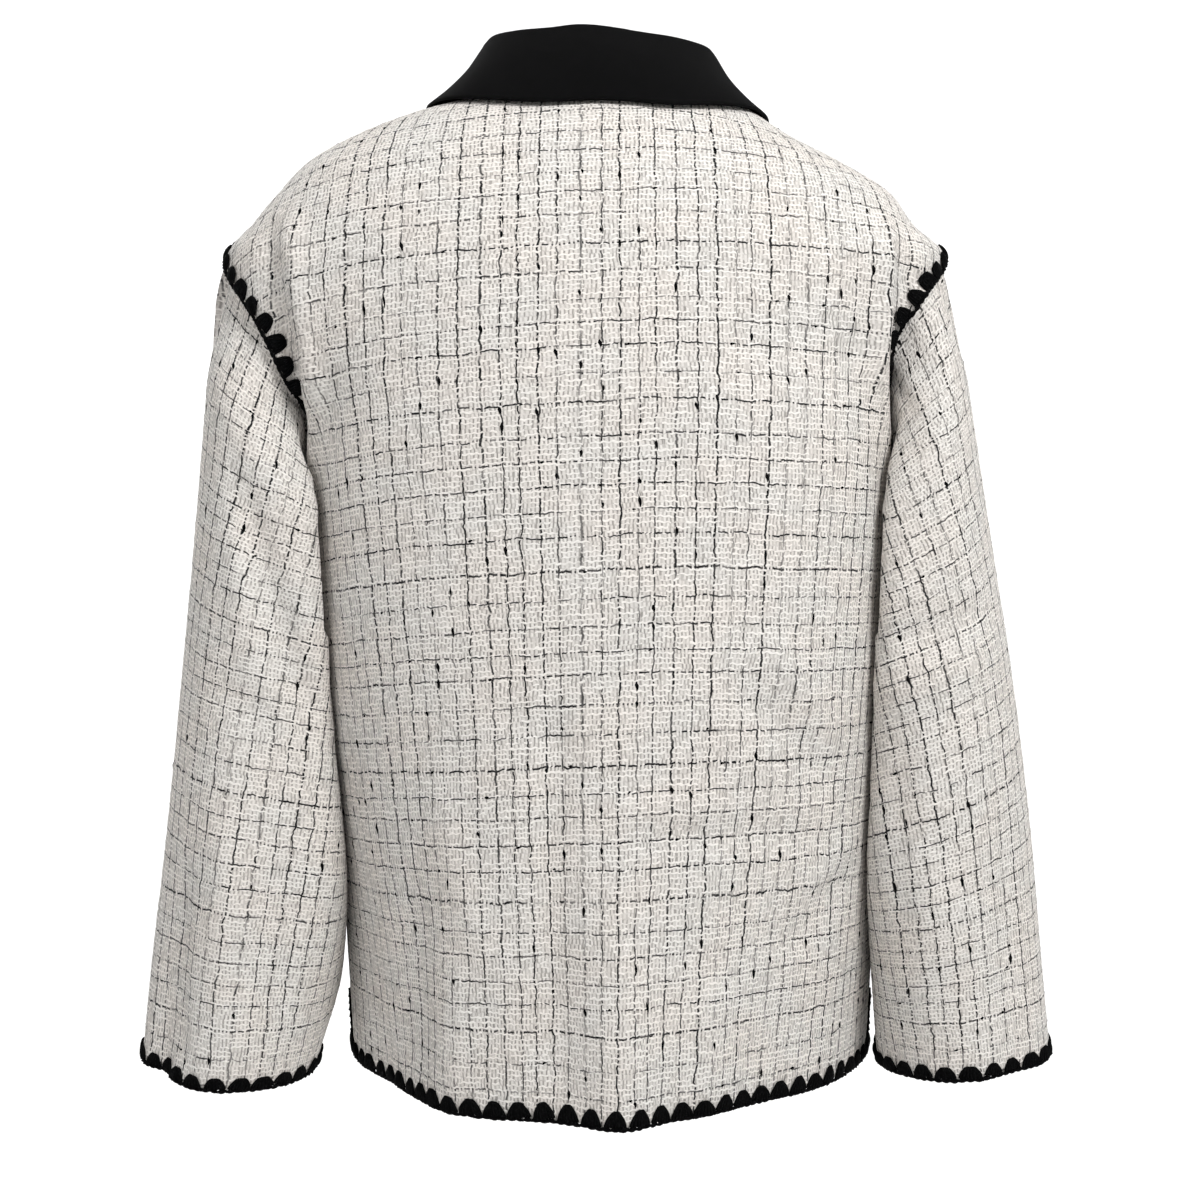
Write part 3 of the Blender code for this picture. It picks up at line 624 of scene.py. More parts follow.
class Surface(Graph):
    # the graph of a material. What is the same all over is set on the shader itself
    def __init__(self, name):
        self.material = bpy.data.materials.new(name)
        self.material.use_nodes = True
        super().__init__(self.material.node_tree)
        self.shader = self.tree.nodes["Principled BSDF"]

    def grain(self, scale):
        # the place in the flat pattern
        grain = self.node("ShaderNodeUVMap", uv_map="grain").outputs[0]
        parts = self.node("ShaderNodeSeparateXYZ", {0: grain})
        return self.times(parts.outputs[0], scale), self.times(parts.outputs[1], scale)

    def finish(self, colour, finish, height=None, distance=0.0):
        self.fill(self.shader.inputs["Base Color"], colour)
        for key, value in finish.items():
            self.shader.inputs[key].default_value = value
        if height is not None:
            made = self.node("ShaderNodeBump", {"Height": height, "Distance": distance,
                                                "Strength": 1.0})
            self.tree.links.new(made.outputs[0], self.shader.inputs["Normal"])
        return self.material


def tweedMaterial():
    look = tweedLook
    g = Surface("ivoryTweed")
    u, v = g.grain(1000.0)

    # yarns wander a little to the side. The last number in a noise's place only keeps it
    # apart from the others
    place = g.join(u, v)

    def sway(key, length, amount):
        return g.times(g.minus(g.noise(g.join(u, v, key), 1 / length), 0.5), amount)

    swayU, swayV = (g.add(sway(key, look["wanderLength"], look["wander"]),
                          sway(key + 80.0, look["fineLength"], look["fineWander"]))
                    for key in (0.0, 40.0))
    u, v = g.add(u, swayU), g.add(v, swayV)

    # upright loops of warp, between wavy bands of weft. 1 is the edge of a cell, 0 its middle
    across, along = g.times(u, 1 / look["warpPitch"]), g.times(v, 1 / look["weftPitch"])
    row = g.math("FLOOR", along)
    block = g.math("FLOOR", g.times(across, 1 / look["blockLoops"]))
    blockLuck = g.chance(g.join(block, row, 21.5))
    across = g.add(across, g.times(g.minus(blockLuck, 0.5), look["shift"]))
    column = g.math("FLOOR", across)
    # the bands weave up and down over the loops, each at its own height
    rowLuck = g.chance(g.join(0.5, g.math("FLOOR", g.add(along, 0.5)), 41.5))
    wave = g.math("SINE", g.add(g.times(across, math.pi), g.times(rowLuck, 20.0)))
    own = g.chance(g.join(g.math("FLOOR", g.times(g.add(across, g.times(row, 0.37)), 0.5)),
                          row, 33.5))
    along = g.add(along, g.add(g.times(wave, look["zigzag"]),
                               g.times(g.minus(own, 0.5), look["bandShift"])))
    row = g.math("FLOOR", along)
    gapColumn, bandRow = g.math("FLOOR", g.add(across, 0.5)), g.math("FLOOR", g.add(along, 0.5))
    edgeU = g.math("ABSOLUTE", g.minus(g.times(g.math("FRACT", across), 2.0), 1.0))
    edgeV = g.math("ABSOLUTE", g.minus(g.times(g.math("FRACT", along), 2.0), 1.0))
    loopLuck = g.chance(g.join(column, row, 4.5))
    gapLuck = g.chance(g.join(gapColumn, row, 0.5))
    piece = g.math("FLOOR", g.add(g.times(across, look["pieceLoops"]), g.times(rowLuck, 7.0)))
    bandLuck = g.chance(g.join(piece, bandRow, 9.5))
    band = g.times(g.smooth(edgeV, *look["bandEdge"]), g.smooth(bandLuck, *look["bandChance"]))
    loop = g.times(g.smooth(edgeU, *look["loopSides"]), g.smooth(edgeV, *look["loopEnds"]))
    # the tops of loops and bands are painted bright as lit, partly varied by chance, and the same
    # mask raises them in the bump
    dimmest, spread = look["loopLight"]
    light = g.math("MAXIMUM", g.times(loop, g.add(dimmest, g.times(loopLuck, spread))), band)
    # the gaps between loops sink in the bump, and their colour is painted shade
    gap = g.times(g.times(g.smooth(edgeU, *look["gapSides"]),
                          g.smooth(band, *look["gapBesideBand"])),
                  g.smooth(gapLuck, *look["gapChance"]))
    fuzz = g.noise(g.join(u, v, 7.0), 1.5, 2.0, 0.7)
    yarnHeight, gapDepth, fuzzHeight = look["heights"]
    height = g.add(g.minus(g.times(light, yarnHeight), g.times(gap, gapDepth)),
                   g.times(fuzz, fuzzHeight))

    def darkLines(lines, width, place, other, key):
        waveA, waveB = (
            g.times(g.math("SINE", g.add(g.times(place, 2 * math.pi / length), start)), size)
            for size, length, start in (lines[1:4], lines[4:7]))
        number = g.add(g.times(place, 1 / lines.pitch), g.add(waveA, waveB))
        index = g.math("FLOOR", g.add(number, 0.5))

        def along(scale, step, extra, detail=1.0):
            return g.noise(g.join(g.times(other, scale), g.times(index, step), key + extra), 1.0,
                           detail)

        kink = g.add(g.times(g.minus(along(0.12, 9.3, 0.0), 0.5), look["kink"]),
                     g.times(g.minus(along(0.45, 4.1, 3.0), 0.5), look["fineKink"]))
        away = g.math("ABSOLUTE", g.add(g.times(g.minus(number, index), lines.pitch), kink))
        own = g.times(g.chance(g.join(index, key, 3.0)), look["lineLuck"])
        strength = g.smooth(g.add(along(0.06, 5.7, 9.0, 2.0), own), *look["lineStrength"])
        swell = g.times(along(0.35, 2.3, 6.0), g.blend(strength, *look["lineSwell"]))
        body = g.smooth(g.minus(away, swell), width, width * 0.25)
        depth = g.smooth(g.add(along(0.17, 2.9, 12.0, 2.0), own), *look["lineDepth"])
        return body, index, strength, g.mix(depth, look["lineGrey"], look["lineDark"])

    warpBody, warpIndex, warpStrength, warpColour = darkLines(
        look["warpLines"], look["warpLineWidth"], u, v, 1.0)
    weftBody, weftIndex, weftStrength, weftColour = darkLines(
        look["weftLines"], look["weftLineWidth"], v, u, 31.0)

    # where the dark yarn comes to the face
    hidden = g.math("GREATER_THAN", g.chance(g.join(warpIndex, bandRow, 11.0)),
                    look["warpHidden"])
    under = g.times(g.smooth(edgeV, *look["underBand"]), hidden)
    warpDash = g.times(g.times(warpBody, g.minus(1.0, under)),
                       g.blend(warpStrength, look["warpFaint"], 1.0))
    over = g.math("GREATER_THAN", g.chance(g.join(column, weftIndex, 13.0)),
                  look["weftHidden"])
    beside = g.smooth(edgeU, *look["besideLoop"])
    weftDash = g.times(g.times(weftBody, g.math("MAXIMUM", over, beside)),
                       g.blend(weftStrength, look["weftFaint"], 1.0))

    patch = g.noise(place, 1 / look["patchSize"], 2.0)
    tint = g.mix(g.smooth(patch, *look["patchEdge"]), look["warmTint"], look["coolTint"])
    # painted light and shade of the weave: lit ivory on the tops of loops and bands, painted
    # shaded ivory between them
    cloth = g.mix(light, look["shadedIvory"], look["ivory"])
    # painted shade in the gaps between loops
    cloth = g.mix(gap, cloth, look["gap"])
    cloth = g.mix(1.0, cloth, tint, "MULTIPLY")
    cloth = g.mix(weftDash, cloth, weftColour)
    cloth = g.mix(warpDash, cloth, warpColour)
    return g.finish(cloth, look["finish"], height, look["bumpHeight"])


collarLook = {
    "colour": (0.0036, 0.0036, 0.0038),
    "threadPitch": 0.62,
    "weaveShade": 0.10,
    "lintShade": 0.25,
    "patchShade": 0.4,
    "bumpHeight": 0.00009,
    "finish": {"Roughness": 0.85, "Specular IOR Level": 0.05},
}


def collarMaterial():
    look = collarLook
    g = Surface("blackCollarCloth")
    u, v = g.grain(1000.0 / look["threadPitch"])
    weave = g.times(*(g.math("SINE", g.times(place, 2 * math.pi)) for place in (u, v)))
    lint = g.noise(g.join(g.times(u, 0.25), g.times(v, 0.25)), 1.0, 3.0, 0.7)
    soft = g.noise(g.join(g.times(u, 0.012), g.times(v, 0.02)), 1.0, 2.0)
    shade = g.add(0.82, g.add(g.times(weave, look["weaveShade"]),
                              g.times(lint, look["lintShade"])))
    shade = g.times(shade, g.add(0.8, g.times(soft, look["patchShade"])))
    colour = g.node("ShaderNodeVectorMath", {0: look["colour"]}, operation="SCALE")
    g.fill(colour.inputs["Scale"], shade)
    return g.finish(colour.outputs[0], look["finish"], g.add(g.times(weave, 0.5), lint),
                    look["bumpHeight"])


yarnLook = {
    "colour": (0.002, 0.002, 0.0022),
    "pale": (0.009, 0.009, 0.0094),
    "fibreScale": 900.0,
    "fibreEdge": (0.45, 0.75),
    "strandScale": 260.0,
    "bumpHeight": 0.00025,
    "finish": {"Roughness": 0.95, "Specular IOR Level": 0.05},
}


def yarnMaterial(name):
    look = yarnLook
    g = Surface(name)
    place = g.node("ShaderNodeTexCoord").outputs["Object"]
    fibre = g.noise(place, look["fibreScale"], 3.0, 0.7)
    strand = g.noise(place, look["strandScale"], 1.0)
    colour = g.mix(g.smooth(fibre, *look["fibreEdge"]), look["colour"], look["pale"])
    return g.finish(colour, look["finish"], g.add(fibre, strand), look["bumpHeight"])


tweed = tweedMaterial()
collarCloth = collarMaterial()
edgingYarn = yarnMaterial("blackEdgingYarn")
slubYarn = yarnMaterial("blackSlubYarn")
print("cloth and yarn ready")


# body panels

backCreases = [
    Crease("middleTrough",    1,   26, -357,   26, -640, 13, -3.4,  3),
    Crease("leftRidge",       1,  100, -440,   60, -560, 11,  2.2,  4),
    Crease("leftTrough",      1,  112, -500,  113, -630, 12, -3.0,  2),
    Crease("leftLowRidge",    1,   84, -545,   92, -640, 10,  1.8,  0),
    Crease("rightSlantRidge", 1,  -98, -357, -152, -430, 10,  2.2, -3),
    Crease("rightSlantTrough", 1, -86, -384, -140, -452, 10, -2.6, -3),
    Crease("rightBagTrough",  1,  -24, -476, -150, -486,  9, -1.9, -7),
    Crease("rightBagRidge",   1,    6, -462,  -76, -458,  9,  1.5, -3),
    Crease("rightHemTrough",  1, -112, -552, -154, -500, 12, -2.8,  4),
    Crease("rightHemRidge",   1, -127, -514, -160, -478,  9,  1.7,  3),
    Crease("rightHemRoll",    1,  -72, -560,  -66, -640, 14,  2.0,  0),
    Crease("midSlant",        1,   12, -430,   62, -400, 10, -1.3,  3),
    Crease("upperSlant",      1,  -35, -240,  -60, -284, 11, -1.2,  0),
    Crease("upperLeft",       1,   70, -190,  120, -215, 12, -1.0,  4),
    Crease("armholeRidgeLeft",   1,  195,  -86,  176, -222,  8,  3.6,  2),
    Crease("armholeTroughLeft",  1,  210, -100,  189, -200,  8, -4.6,  2),
    Crease("armholeRidgeRight",  1, -179,  -84, -176, -205,  7,  3.2, -2),
    Crease("armholeTroughRight", 1, -193, -100, -187, -176,  8, -4.0, -2),
]
frontCreases = [
    Crease("leftDrop",        -1,  150, -215,  128, -420, 14, -2.6,  6),
    Crease("leftRoll",        -1,  118, -250,   98, -470, 15,  1.9,  4),
    Crease("leftHemTrough",   -1,   70, -470,   78, -640, 12, -3.0,  3),
    Crease("leftHemRidge",    -1,  128, -480,  136, -640, 13,  2.2, -3),
    Crease("leftChest",       -1,  170, -160,  120, -205, 10, -1.6,  5),
    Crease("rightDrop",       -1, -146, -205, -118, -400, 13, -2.4, -5),
    Crease("rightRoll",       -1, -108, -280,  -92, -500, 15,  1.8, -4),
    Crease("rightHemTrough",  -1,  -62, -500,  -66, -640, 12, -2.7, -2),
    Crease("rightHemRidge",   -1, -124, -470, -140, -640, 14,  2.3,  3),
    Crease("rightSlant",      -1, -160, -360, -100, -410, 10, -1.8, -5),
    Crease("rightChest",      -1, -168, -150, -124, -196, 10, -1.5, -4),
]

# behind each armhole the back rolls into a ridge, and the edge beside it turns to the back.
# x to the side and y to the back, at equal steps away from the armhole's edge, and the
# heights between which the edge and the ridge are moved
armholeRoll = {
    "step": 6.0,
    "edge": [(5, 11), (4.5, 7), (2.5, 2), (0.5, -1), (0, 0), (0, 0)],
    "ridge": [(0, 0), (0, 0), (2, 0.5), (5.5, 2), (5.5, 2), (3.5, 1), (1.5, 0), (0, 0)],
    "edgeHeights": {1: (-146, -190, -198, -213), -1: (-112, -148, -162, -188)},
    "edgeShare": {1: 1.0, -1: 0.75},
    "ridgeHeights": {1: (-150, -195, -235, -300), -1: (-120, -160, -215, -290)},
}


def rollArmholes(face):
    roll = armholeRoll
    for side in (1, -1):
        order = slice(None, None, -side)
        for row in face[fineness["bodyRows"] // 2:-fineness["shoulderRows"]]:
            points = row[order]
            steps = lengthAlong(points) / mm / roll["step"]
            height = points[0, 2] / mm
            moved = np.zeros((len(points), 2))
            for table, heights in (("edge", "edgeHeights"), ("ridge", "ridgeHeights")):
                top, full, low, end = roll[heights][side]
                share = ease((top - height) / (top - full)) * ease((height - end) / (low - end))
                share *= roll["edgeShare"][side] if table == "edge" else 1.0
                near = steps < len(roll[table]) - 1
                moved[near] += share * np.array([between(roll[table], s) for s in steps[near]])
            points[:, 0] += side * moved[:, 0] * mm
            points[:, 1] += moved[:, 1] * mm


# the weft drops to the left from a place across the back, and the warp draws in towards the
# hem on the left and right, between two heights and about a third. In metres
backGrain = {
    "drop": 0.055,
    "dropFrom": -0.03,
    "dropBend": 0.02,
    "dropHeights": (0.03, 0.19),
    "drawLeft": 0.6,
    "drawRight": 0.35,
    "drawHeights": (0.10, 0.44),
    "drawnAt": 0.27,
}


def leanGrain(flat):
    u, v = flat[:, :, 0], flat[:, :, 1]
    past = u - backGrain["dropFrom"]
    drop = backGrain["drop"] * (past + np.hypot(past, backGrain["dropBend"])) / 2
    low, high = backGrain["dropHeights"]
    draw = np.where(u > 0, backGrain["drawLeft"], backGrain["drawRight"])
    height = np.clip(v, *backGrain["drawHeights"])
    return np.stack([u * (1 + draw * (backGrain["drawnAt"] - height)),
                     v + drop * ease((v - low) / (high - low))], axis=-1)


levels = panelLevels()
bodyCentre = np.array([0.0, 0.0, -0.33])
backFace, backFlat = panel(levels, backRuns)
backFlat = leanGrain(backFlat)
rollArmholes(backFace)
backOut = outwardNormals(backFace, bodyCentre)
backFace = creased(backFace, backOut, backCreases)
backOut = outwardNormals(backFace, bodyCentre)

fronts = {}
for side in (1, -1):
    face, flat = panel(levels, frontRuns, side)
    out = outwardNormals(face, bodyCentre)
    face = creased(face, out, frontCreases)
    fronts[side] = face, outwardNormals(face, bodyCentre), flat + (side * 0.7, 0)
bodyTree = surfaceTree((backFace, backOut, False), (*fronts[1][:2], False),
                       (*fronts[-1][:2], False))

tweedPieces = {}
tweedPieces["back"] = clothWall("backCloth", backFace, backOut, backFlat,
                                cut["tweedThickness"], tweed)
for side, word in sides:
    face, out, flat = fronts[side]
    tweedPieces["front_" + word] = clothWall("frontCloth_" + word, face, out, flat,
                                             cut["tweedThickness"], tweed)
print("back and fronts ready")


# sleeves

# x and z of the outer and inner sides on the left and on the right, y of the back and the
# front, and how much lower the back hangs on each side
SleeveRing = namedtuple(
    "SleeveRing", "name outerXLeft outerZLeft innerXLeft innerZLeft outerXRight "
                  "outerZRight innerXRight innerZRight backY frontY dropLeft dropRight")
sleeveRings = [
    SleeveRing("armpit",   260, -192, 172, -312, 243, -190, 173, -312, 80, -78, 0, 0),
    SleeveRing("upper",    269, -290, 168, -362, 259, -290, 170, -362, 80, -88, 0, 0),
    SleeveRing("elbow",    278, -385, 165, -428, 274, -385, 169, -428, 78, -84, 0, 0),
    SleeveRing("forearm",  287, -482, 162, -508, 285, -480, 168, -502, 76, -74, 1, 1),
    SleeveRing("wrist",    296, -568, 172, -582, 291, -562, 177, -575, 75, -62, 2, 1),
    SleeveRing("cuff",     300, -628, 188, -640, 295, -626, 184, -637, 76, -48, 3, -1),
]
# angles run round the sleeve from its outer side over the back; side 1 is the left
SleeveFold = namedtuple(
    "SleeveFold", "name side topAngle cuffAngle spread depth top grows cuff")
sleeveFolds = [
    SleeveFold("outerCrease",  1,  40,  47, 13, -9, 2.6, 2.4, 1.0),
    SleeveFold("backRoll",     1,  75,  95, 22,  5, 1.5, 1.5, 0.8),
    SleeveFold("elbowHollow",  1, 120, 110, 18, -5, 0.6, 1.5, 0.3),
    SleeveFold("frontRoll",    1, 290, 300, 24,  5, 1.5, 1.5, 0.8),
    SleeveFold("backHollow",  -1,  60,  66, 16, -6, 2.2, 1.5, 0.8),
    SleeveFold("backRoll",    -1,  95, 112, 20,  5, 1.0, 1.5, 0.8),
    SleeveFold("frontHollow", -1, 285, 292, 20, -5, 1.2, 1.5, 0.8),
]
sleeveCreases = [
    Crease("leftSlant",       1,  229, -240,  174, -428, 10, -5.6,  3),
    Crease("leftUpperRidge",  1,  226, -290,  208, -410, 10,  2.6,  2),
    Crease("leftCuffCrease",  1,  262, -500,  264, -640,  7, -3.2,  2),
    Crease("leftCuffRidge",   1,  238, -450,  231, -640, 14,  2.2, -2),
    Crease("leftInnerTrough", 1,  196, -520,  204, -600, 10, -1.6,  2),
    Crease("leftElbow",       1,  246, -392,  202, -414, 11, -1.8, -4),
    Crease("rightBandRidge",  1, -168, -392, -256, -362, 12,  2.2,  3),
    Crease("rightBandTrough", 1, -172, -360, -250, -336, 10, -2.6,  3),
    Crease("rightLowTrough",  1, -204, -470, -240, -522, 12, -1.9,  3),
    Crease("rightInner",      1, -186, -400, -188, -560,  9, -2.0,  0),
    Crease("rightCuff",       1, -218, -560, -214, -640, 12, -2.0,  0),
    Crease("frontLeftElbow", -1,  238, -350,  196, -378, 11, -2.4,  4),
    Crease("frontLeftBelow", -1,  250, -392,  204, -410, 10, -1.8,  3),
    Crease("frontLeftLong",  -1,  250, -450,  256, -630, 12, -2.6,  2),
    Crease("frontRightElbow", -1, -240, -340, -196, -372, 11, -2.4, -4),
    Crease("frontRightBelow", -1, -246, -386, -200, -400, 10, -1.7, -3),
    Crease("frontRightLong", -1, -238, -460, -230, -630, 12, -2.4,  2),
]
sleeveHang = {
    "tuck": 5.0 * mm,
    "lip": 4.0 * mm,
    "tuckClearance": 1.5 * mm,
    "leadOuter": 17.0 * mm,
    "leadInner": 13.0 * mm,
    "dropOuter": 28.0 * mm,
    "dropInner": 42.0 * mm,
    "backFullness": 20.0 * mm,
    "innerSquares": (5.0, 3.4, 2.0),
    "frontRise": 8.0 * mm,
    "innerCosine": -0.2,
    "bodyClearance": 2.0 * mm,
    "bodySoftness": 2.0 * mm,
    "edgingClearance": 5.4 * mm,
    "edgingDepth": 30.0 * mm,
    "edgingFade": 14.0 * mm,
    "hemClearance": 7.5 * mm,
    "fallLevel": 0.3,
    "turnRows": 18,
    "rowsPerRing": 22,
}
# how steeply the weft rises away from the outer side, low and high on each sleeve, the
# heights between which that grows, and how the warp tapers and twists. In metres
sleeveGrain = {
    "slants": {1: (0.12, 0.48), -1: (0.28, 0.66)},
    "heights": (0.16, 0.52),
    "outerBend": 0.022,
    "taper": 0.5,
    "taperFrom": 0.25,
    "twist": 0.05,
    "start": (1.6, 0.013),
}


def armholeLoop(side):
    # from the shoulder tip down the back to the underarm and up the front
    bottom = fineness["bodyRows"]
    top = bottom + fineness["armholeRows"]
    column = -1 if side > 0 else 0
    face, out = fronts[side][:2]
    down = [(backFace[r, column], backOut[r, column]) for r in range(top, bottom, -1)]
    up = [(face[r, 0], out[r, 0]) for r in range(bottom, top)]
    return np.array([p for p, _ in down + up]), np.array([n for _, n in down + up])


def loopInward(path, normals):
    ahead = unit(np.roll(path, -1, axis=0) - np.roll(path, 1, axis=0))
    inward = unit(np.cross(ahead, normals))
    return inward * np.sign(np.sum(inward * (path - path.mean(axis=0)), axis=1, keepdims=True))


sideLevels = np.linspace(0, underarmLevel, 121)
sideRings = [ringPoints(at) for at in sideLevels]
sideHeights = np.array([between(ringTable, at)[1] for at in sideLevels])


def bodyHalfWidth(z, side, y):
    points = sideRings[int(np.argmin(np.abs(sideHeights - z)))]
    part = points[middleSample:] if side > 0 else points[middleSample::-1]
    return np.interp(-y, -part[:, 1], np.abs(part[:, 0]))


def keepOffBody(point, side):
    x, y, z = point
    if z > underarmZ:
        return point
    hang = sleeveHang
    low = ease((ringTable[1, 1] - z) / (ringTable[1, 1] - hemZ))
    high = ease((z - underarmZ + hang["edgingDepth"]) / hang["edgingFade"])
    clearance = (hang["bodyClearance"] + (hang["hemClearance"] - hang["bodyClearance"]) * low
                 + (hang["edgingClearance"] - hang["bodyClearance"]) * high)
    limit = bodyHalfWidth(max(z, hemZ), side, y) + clearance
    beyond = abs(x) - limit
    kept = limit + (beyond + math.sqrt(beyond ** 2 + hang["bodySoftness"] ** 2)) / 2
    return np.array([side * kept, y, z])


sleeveTable = np.array([row[1:] for row in sleeveRings], float) * mm
forearmLevel, wristLevel, cuffLevel = 3, 4, 5


def sleeveRing(at, angles, side):
    row = between(sleeveTable, at)
    outerX, outerZ, innerX, innerZ = row[:4] if side > 0 else row[4:8]
    backY, frontY = row[8:10]
    backDrop = row[10] if side > 0 else row[11]
    turn = np.radians(angles)
    # the inner side lies flat against the body, most of all high up
    across, along = np.cos(turn), np.sin(turn)
    top, low, cuff = sleeveHang["innerSquares"]
    square = (top + (low - top) * ease(at / forearmLevel)
              + (cuff - low) * ease((at - forearmLevel) / (cuffLevel - forearmLevel)))
    square = np.where(across < 0, square, 2.0)
    radius = (np.abs(across) ** square + np.abs(along) ** square) ** (-1 / square)
    x = (outerX + innerX) / 2 + (outerX - innerX) / 2 * across * radius
    y = (backY + frontY) / 2 + (backY - frontY) / 2 * along * radius
    z = (outerZ + innerZ) / 2 + (outerZ - innerZ) / 2 * across
    z -= backDrop * np.maximum(along, 0)
    z += sleeveHang["frontRise"] * ease(at - wristLevel) * np.maximum(-along, 0)
    points = np.stack([side * x, y, z], axis=1)
    outward = points - np.array([side * (outerX + innerX) / 2, (backY + frontY) / 2, 0])
    outward[:, 2] = 0
    outward = unit(outward)
    below = ease((at - forearmLevel) / (cuffLevel - forearmLevel))
    for fold in sleeveFolds:
        if fold.side == side:
            grown = ease((at - fold.top) / fold.grows) * (1 - (1 - fold.cuff) * below)
            middle = fold.topAngle + (fold.cuffAngle - fold.topAngle) * at / cuffLevel
            points += outward * (fold.depth * mm * grown
                                 * bump(angles, middle, fold.spread))[:, None]
    return points


def sleeveGrid(side):
    hang = sleeveHang
    loop, loopOut = armholeLoop(side)
    overEdge = -loopInward(loop, loopOut)
    lengths = np.linalg.norm(np.roll(loop, -1, axis=0) - loop, axis=1)
    half = fineness["armholeRows"]
    down = np.concatenate([[0], np.cumsum(lengths[:half])])
    up = np.concatenate([[0], np.cumsum(lengths[half:])])
    angles = np.concatenate([180 * down / down[-1], 180 + 180 * (up / up[-1])[1:-1]])

    depth = cut["tweedThickness"] + hang["tuckClearance"]
    lip = loop - loopOut * depth + overEdge * hang["lip"]
    under = loop - overEdge * hang["tuck"]
    tucked = np.array([bodyTree.find_nearest(Vector(p))[0] for p in under]) - loopOut * depth
    first, second = (sleeveRing(at, angles, side) for at in (0, hang["fallLevel"]))
    fall = unit(second - first)
    innerShare = ((1 - np.cos(np.radians(angles))) / 2)[:, None]
    lead = hang["leadOuter"] + (hang["leadInner"] - hang["leadOuter"]) * innerShare
    drop = hang["dropOuter"] + (hang["dropInner"] - hang["dropOuter"]) * innerShare
    turn = np.radians(angles)
    behind = (np.maximum(np.sin(2 * turn - math.pi), 0) * (angles < 180))[:, None]
    leading = (lip + unit(overEdge + fall) * lead
               + np.array([0, hang["backFullness"], 0]) * behind)

    rows = [tucked, lip]
    for t in np.linspace(0, 1, hang["turnRows"] + 1)[1:]:
        rows.append((1 - t) ** 3 * lip + 3 * (1 - t) ** 2 * t * leading
                    + 3 * (1 - t) * t ** 2 * (first - fall * drop) + t ** 3 * first)
    count = cuffLevel * hang["rowsPerRing"]
    rows += [sleeveRing(k / hang["rowsPerRing"], angles, side) for k in range(1, count + 1)]
    grid = np.array(rows)
    inner = np.cos(np.radians(angles)) < hang["innerCosine"]
    for k, row in enumerate(grid[2:]):
        if k < hang["turnRows"] + hang["rowsPerRing"]:
            row[inner] = [keepOnTop(p, bodyTree, hang["edgingClearance"]) for p in row[inner]]
        row[:] = [keepOffBody(p, side) for p in row]
    return grid, angles


# the section of the sleeve's head: height, half its width and half its depth
sleeveHead = np.array([(-205, 36, 70), (-150, 32, 54), (-107, 26, 32)]) * mm


def sleeveFlat(grid, side):
    # u round the arm from the outer side and v above the cuff, with the seam under the arm
    wrapped = np.concatenate([grid, grid[:, :1]], axis=1)
    outerX, outerZ, innerX, innerZ = (sleeveTable[::-1, :4] if side > 0
                                      else sleeveTable[::-1, 4:8]).T
    backY, frontY = sleeveTable[::-1, 8], sleeveTable[::-1, 9]
    rows = np.stack([(outerZ + innerZ) / 2, (outerX + innerX) / 2, (outerX - innerX) / 2,
                     (backY + frontY) / 2, (backY - frontY) / 2])
    head = np.stack([sleeveHead[:, 0], outerX[-1] - sleeveHead[:, 1], sleeveHead[:, 1],
                     np.full(3, 5 * mm), sleeveHead[:, 2]])
    heights, *sections = np.concatenate([rows, head], axis=1)
    middleX, halfX, middleY, halfY = (np.interp(wrapped[:, :, 2], heights, row)
                                      for row in sections)
    turn = np.unwrap(np.arctan2((wrapped[:, :, 1] - middleY) / halfY,
                                (side * wrapped[:, :, 0] - middleX) / halfX), axis=1)
    turn[:, grid.shape[1] // 2 + 1:] -= 2 * math.pi
    u = (halfX + halfY) / 2 * turn + (halfY - halfX) / 4 * np.sin(2 * turn)
    rise = np.sum(np.diff(wrapped, axis=0) ** 2, axis=2) - np.diff(u, axis=0) ** 2
    rise = np.sqrt(np.maximum(rise, 0))
    v = np.cumsum(np.vstack([rise, np.zeros((1, rise.shape[1]))])[::-1], axis=0)[::-1]
    grain = sleeveGrain
    (low, top), (lowV, topV), (startU, startV) = (
        grain["slants"][side], grain["heights"], grain["start"])
    slant = low * ease(v / lowV) + ease((v - lowV) / (topV - lowV)) * (top - low)
    leaning = u * (1 + grain["taper"] * (grain["taperFrom"] - v)) - grain["twist"] * v
    return np.stack([side * (leaning + startU),
                     v + slant * np.hypot(u, grain["outerBend"]) + startV], axis=-1)


def sleeveNormals(grid):
    normals = gridNormals(grid, True)
    centres = grid.mean(axis=1, keepdims=True)
    low = slice(sleeveHang["turnRows"] + 4, None)
    return normals * np.sign(np.sum(normals[low] * (grid[low] - centres[low])))


sleeves = {}
for side, word in sides:
    grid, angles = sleeveGrid(side)
    out = sleeveNormals(grid)
    grid = creased(grid, out, sleeveCreases)
    for row in grid[sleeveHang["turnRows"]:]:
        row[:] = [keepOffBody(p, side) for p in row]
    out = sleeveNormals(grid)
    flat = sleeveFlat(grid, side)
    sleeves[side] = grid, out, flat
    # the seam runs down the inner side, so the columns start there
    half = grid.shape[1] // 2
    order = (np.arange(grid.shape[1]) + half) % grid.shape[1]
    flatOrder = np.concatenate([np.arange(half + 1, grid.shape[1] + 1), np.arange(1, half + 1)])
    seamFlat = np.concatenate([flat[:, flatOrder[:1]] * 0, flat[:, flatOrder]], axis=1)
    seamFlat[:, 0] = 2 * seamFlat[:, 1] - seamFlat[:, 2]
    tweedPieces["sleeve_" + word] = clothWall(
        "sleeveCloth_" + word, grid[:, order], out[:, order], seamFlat,
        cut["tweedThickness"], tweed, closed=True)
print("sleeves ready")


# collar

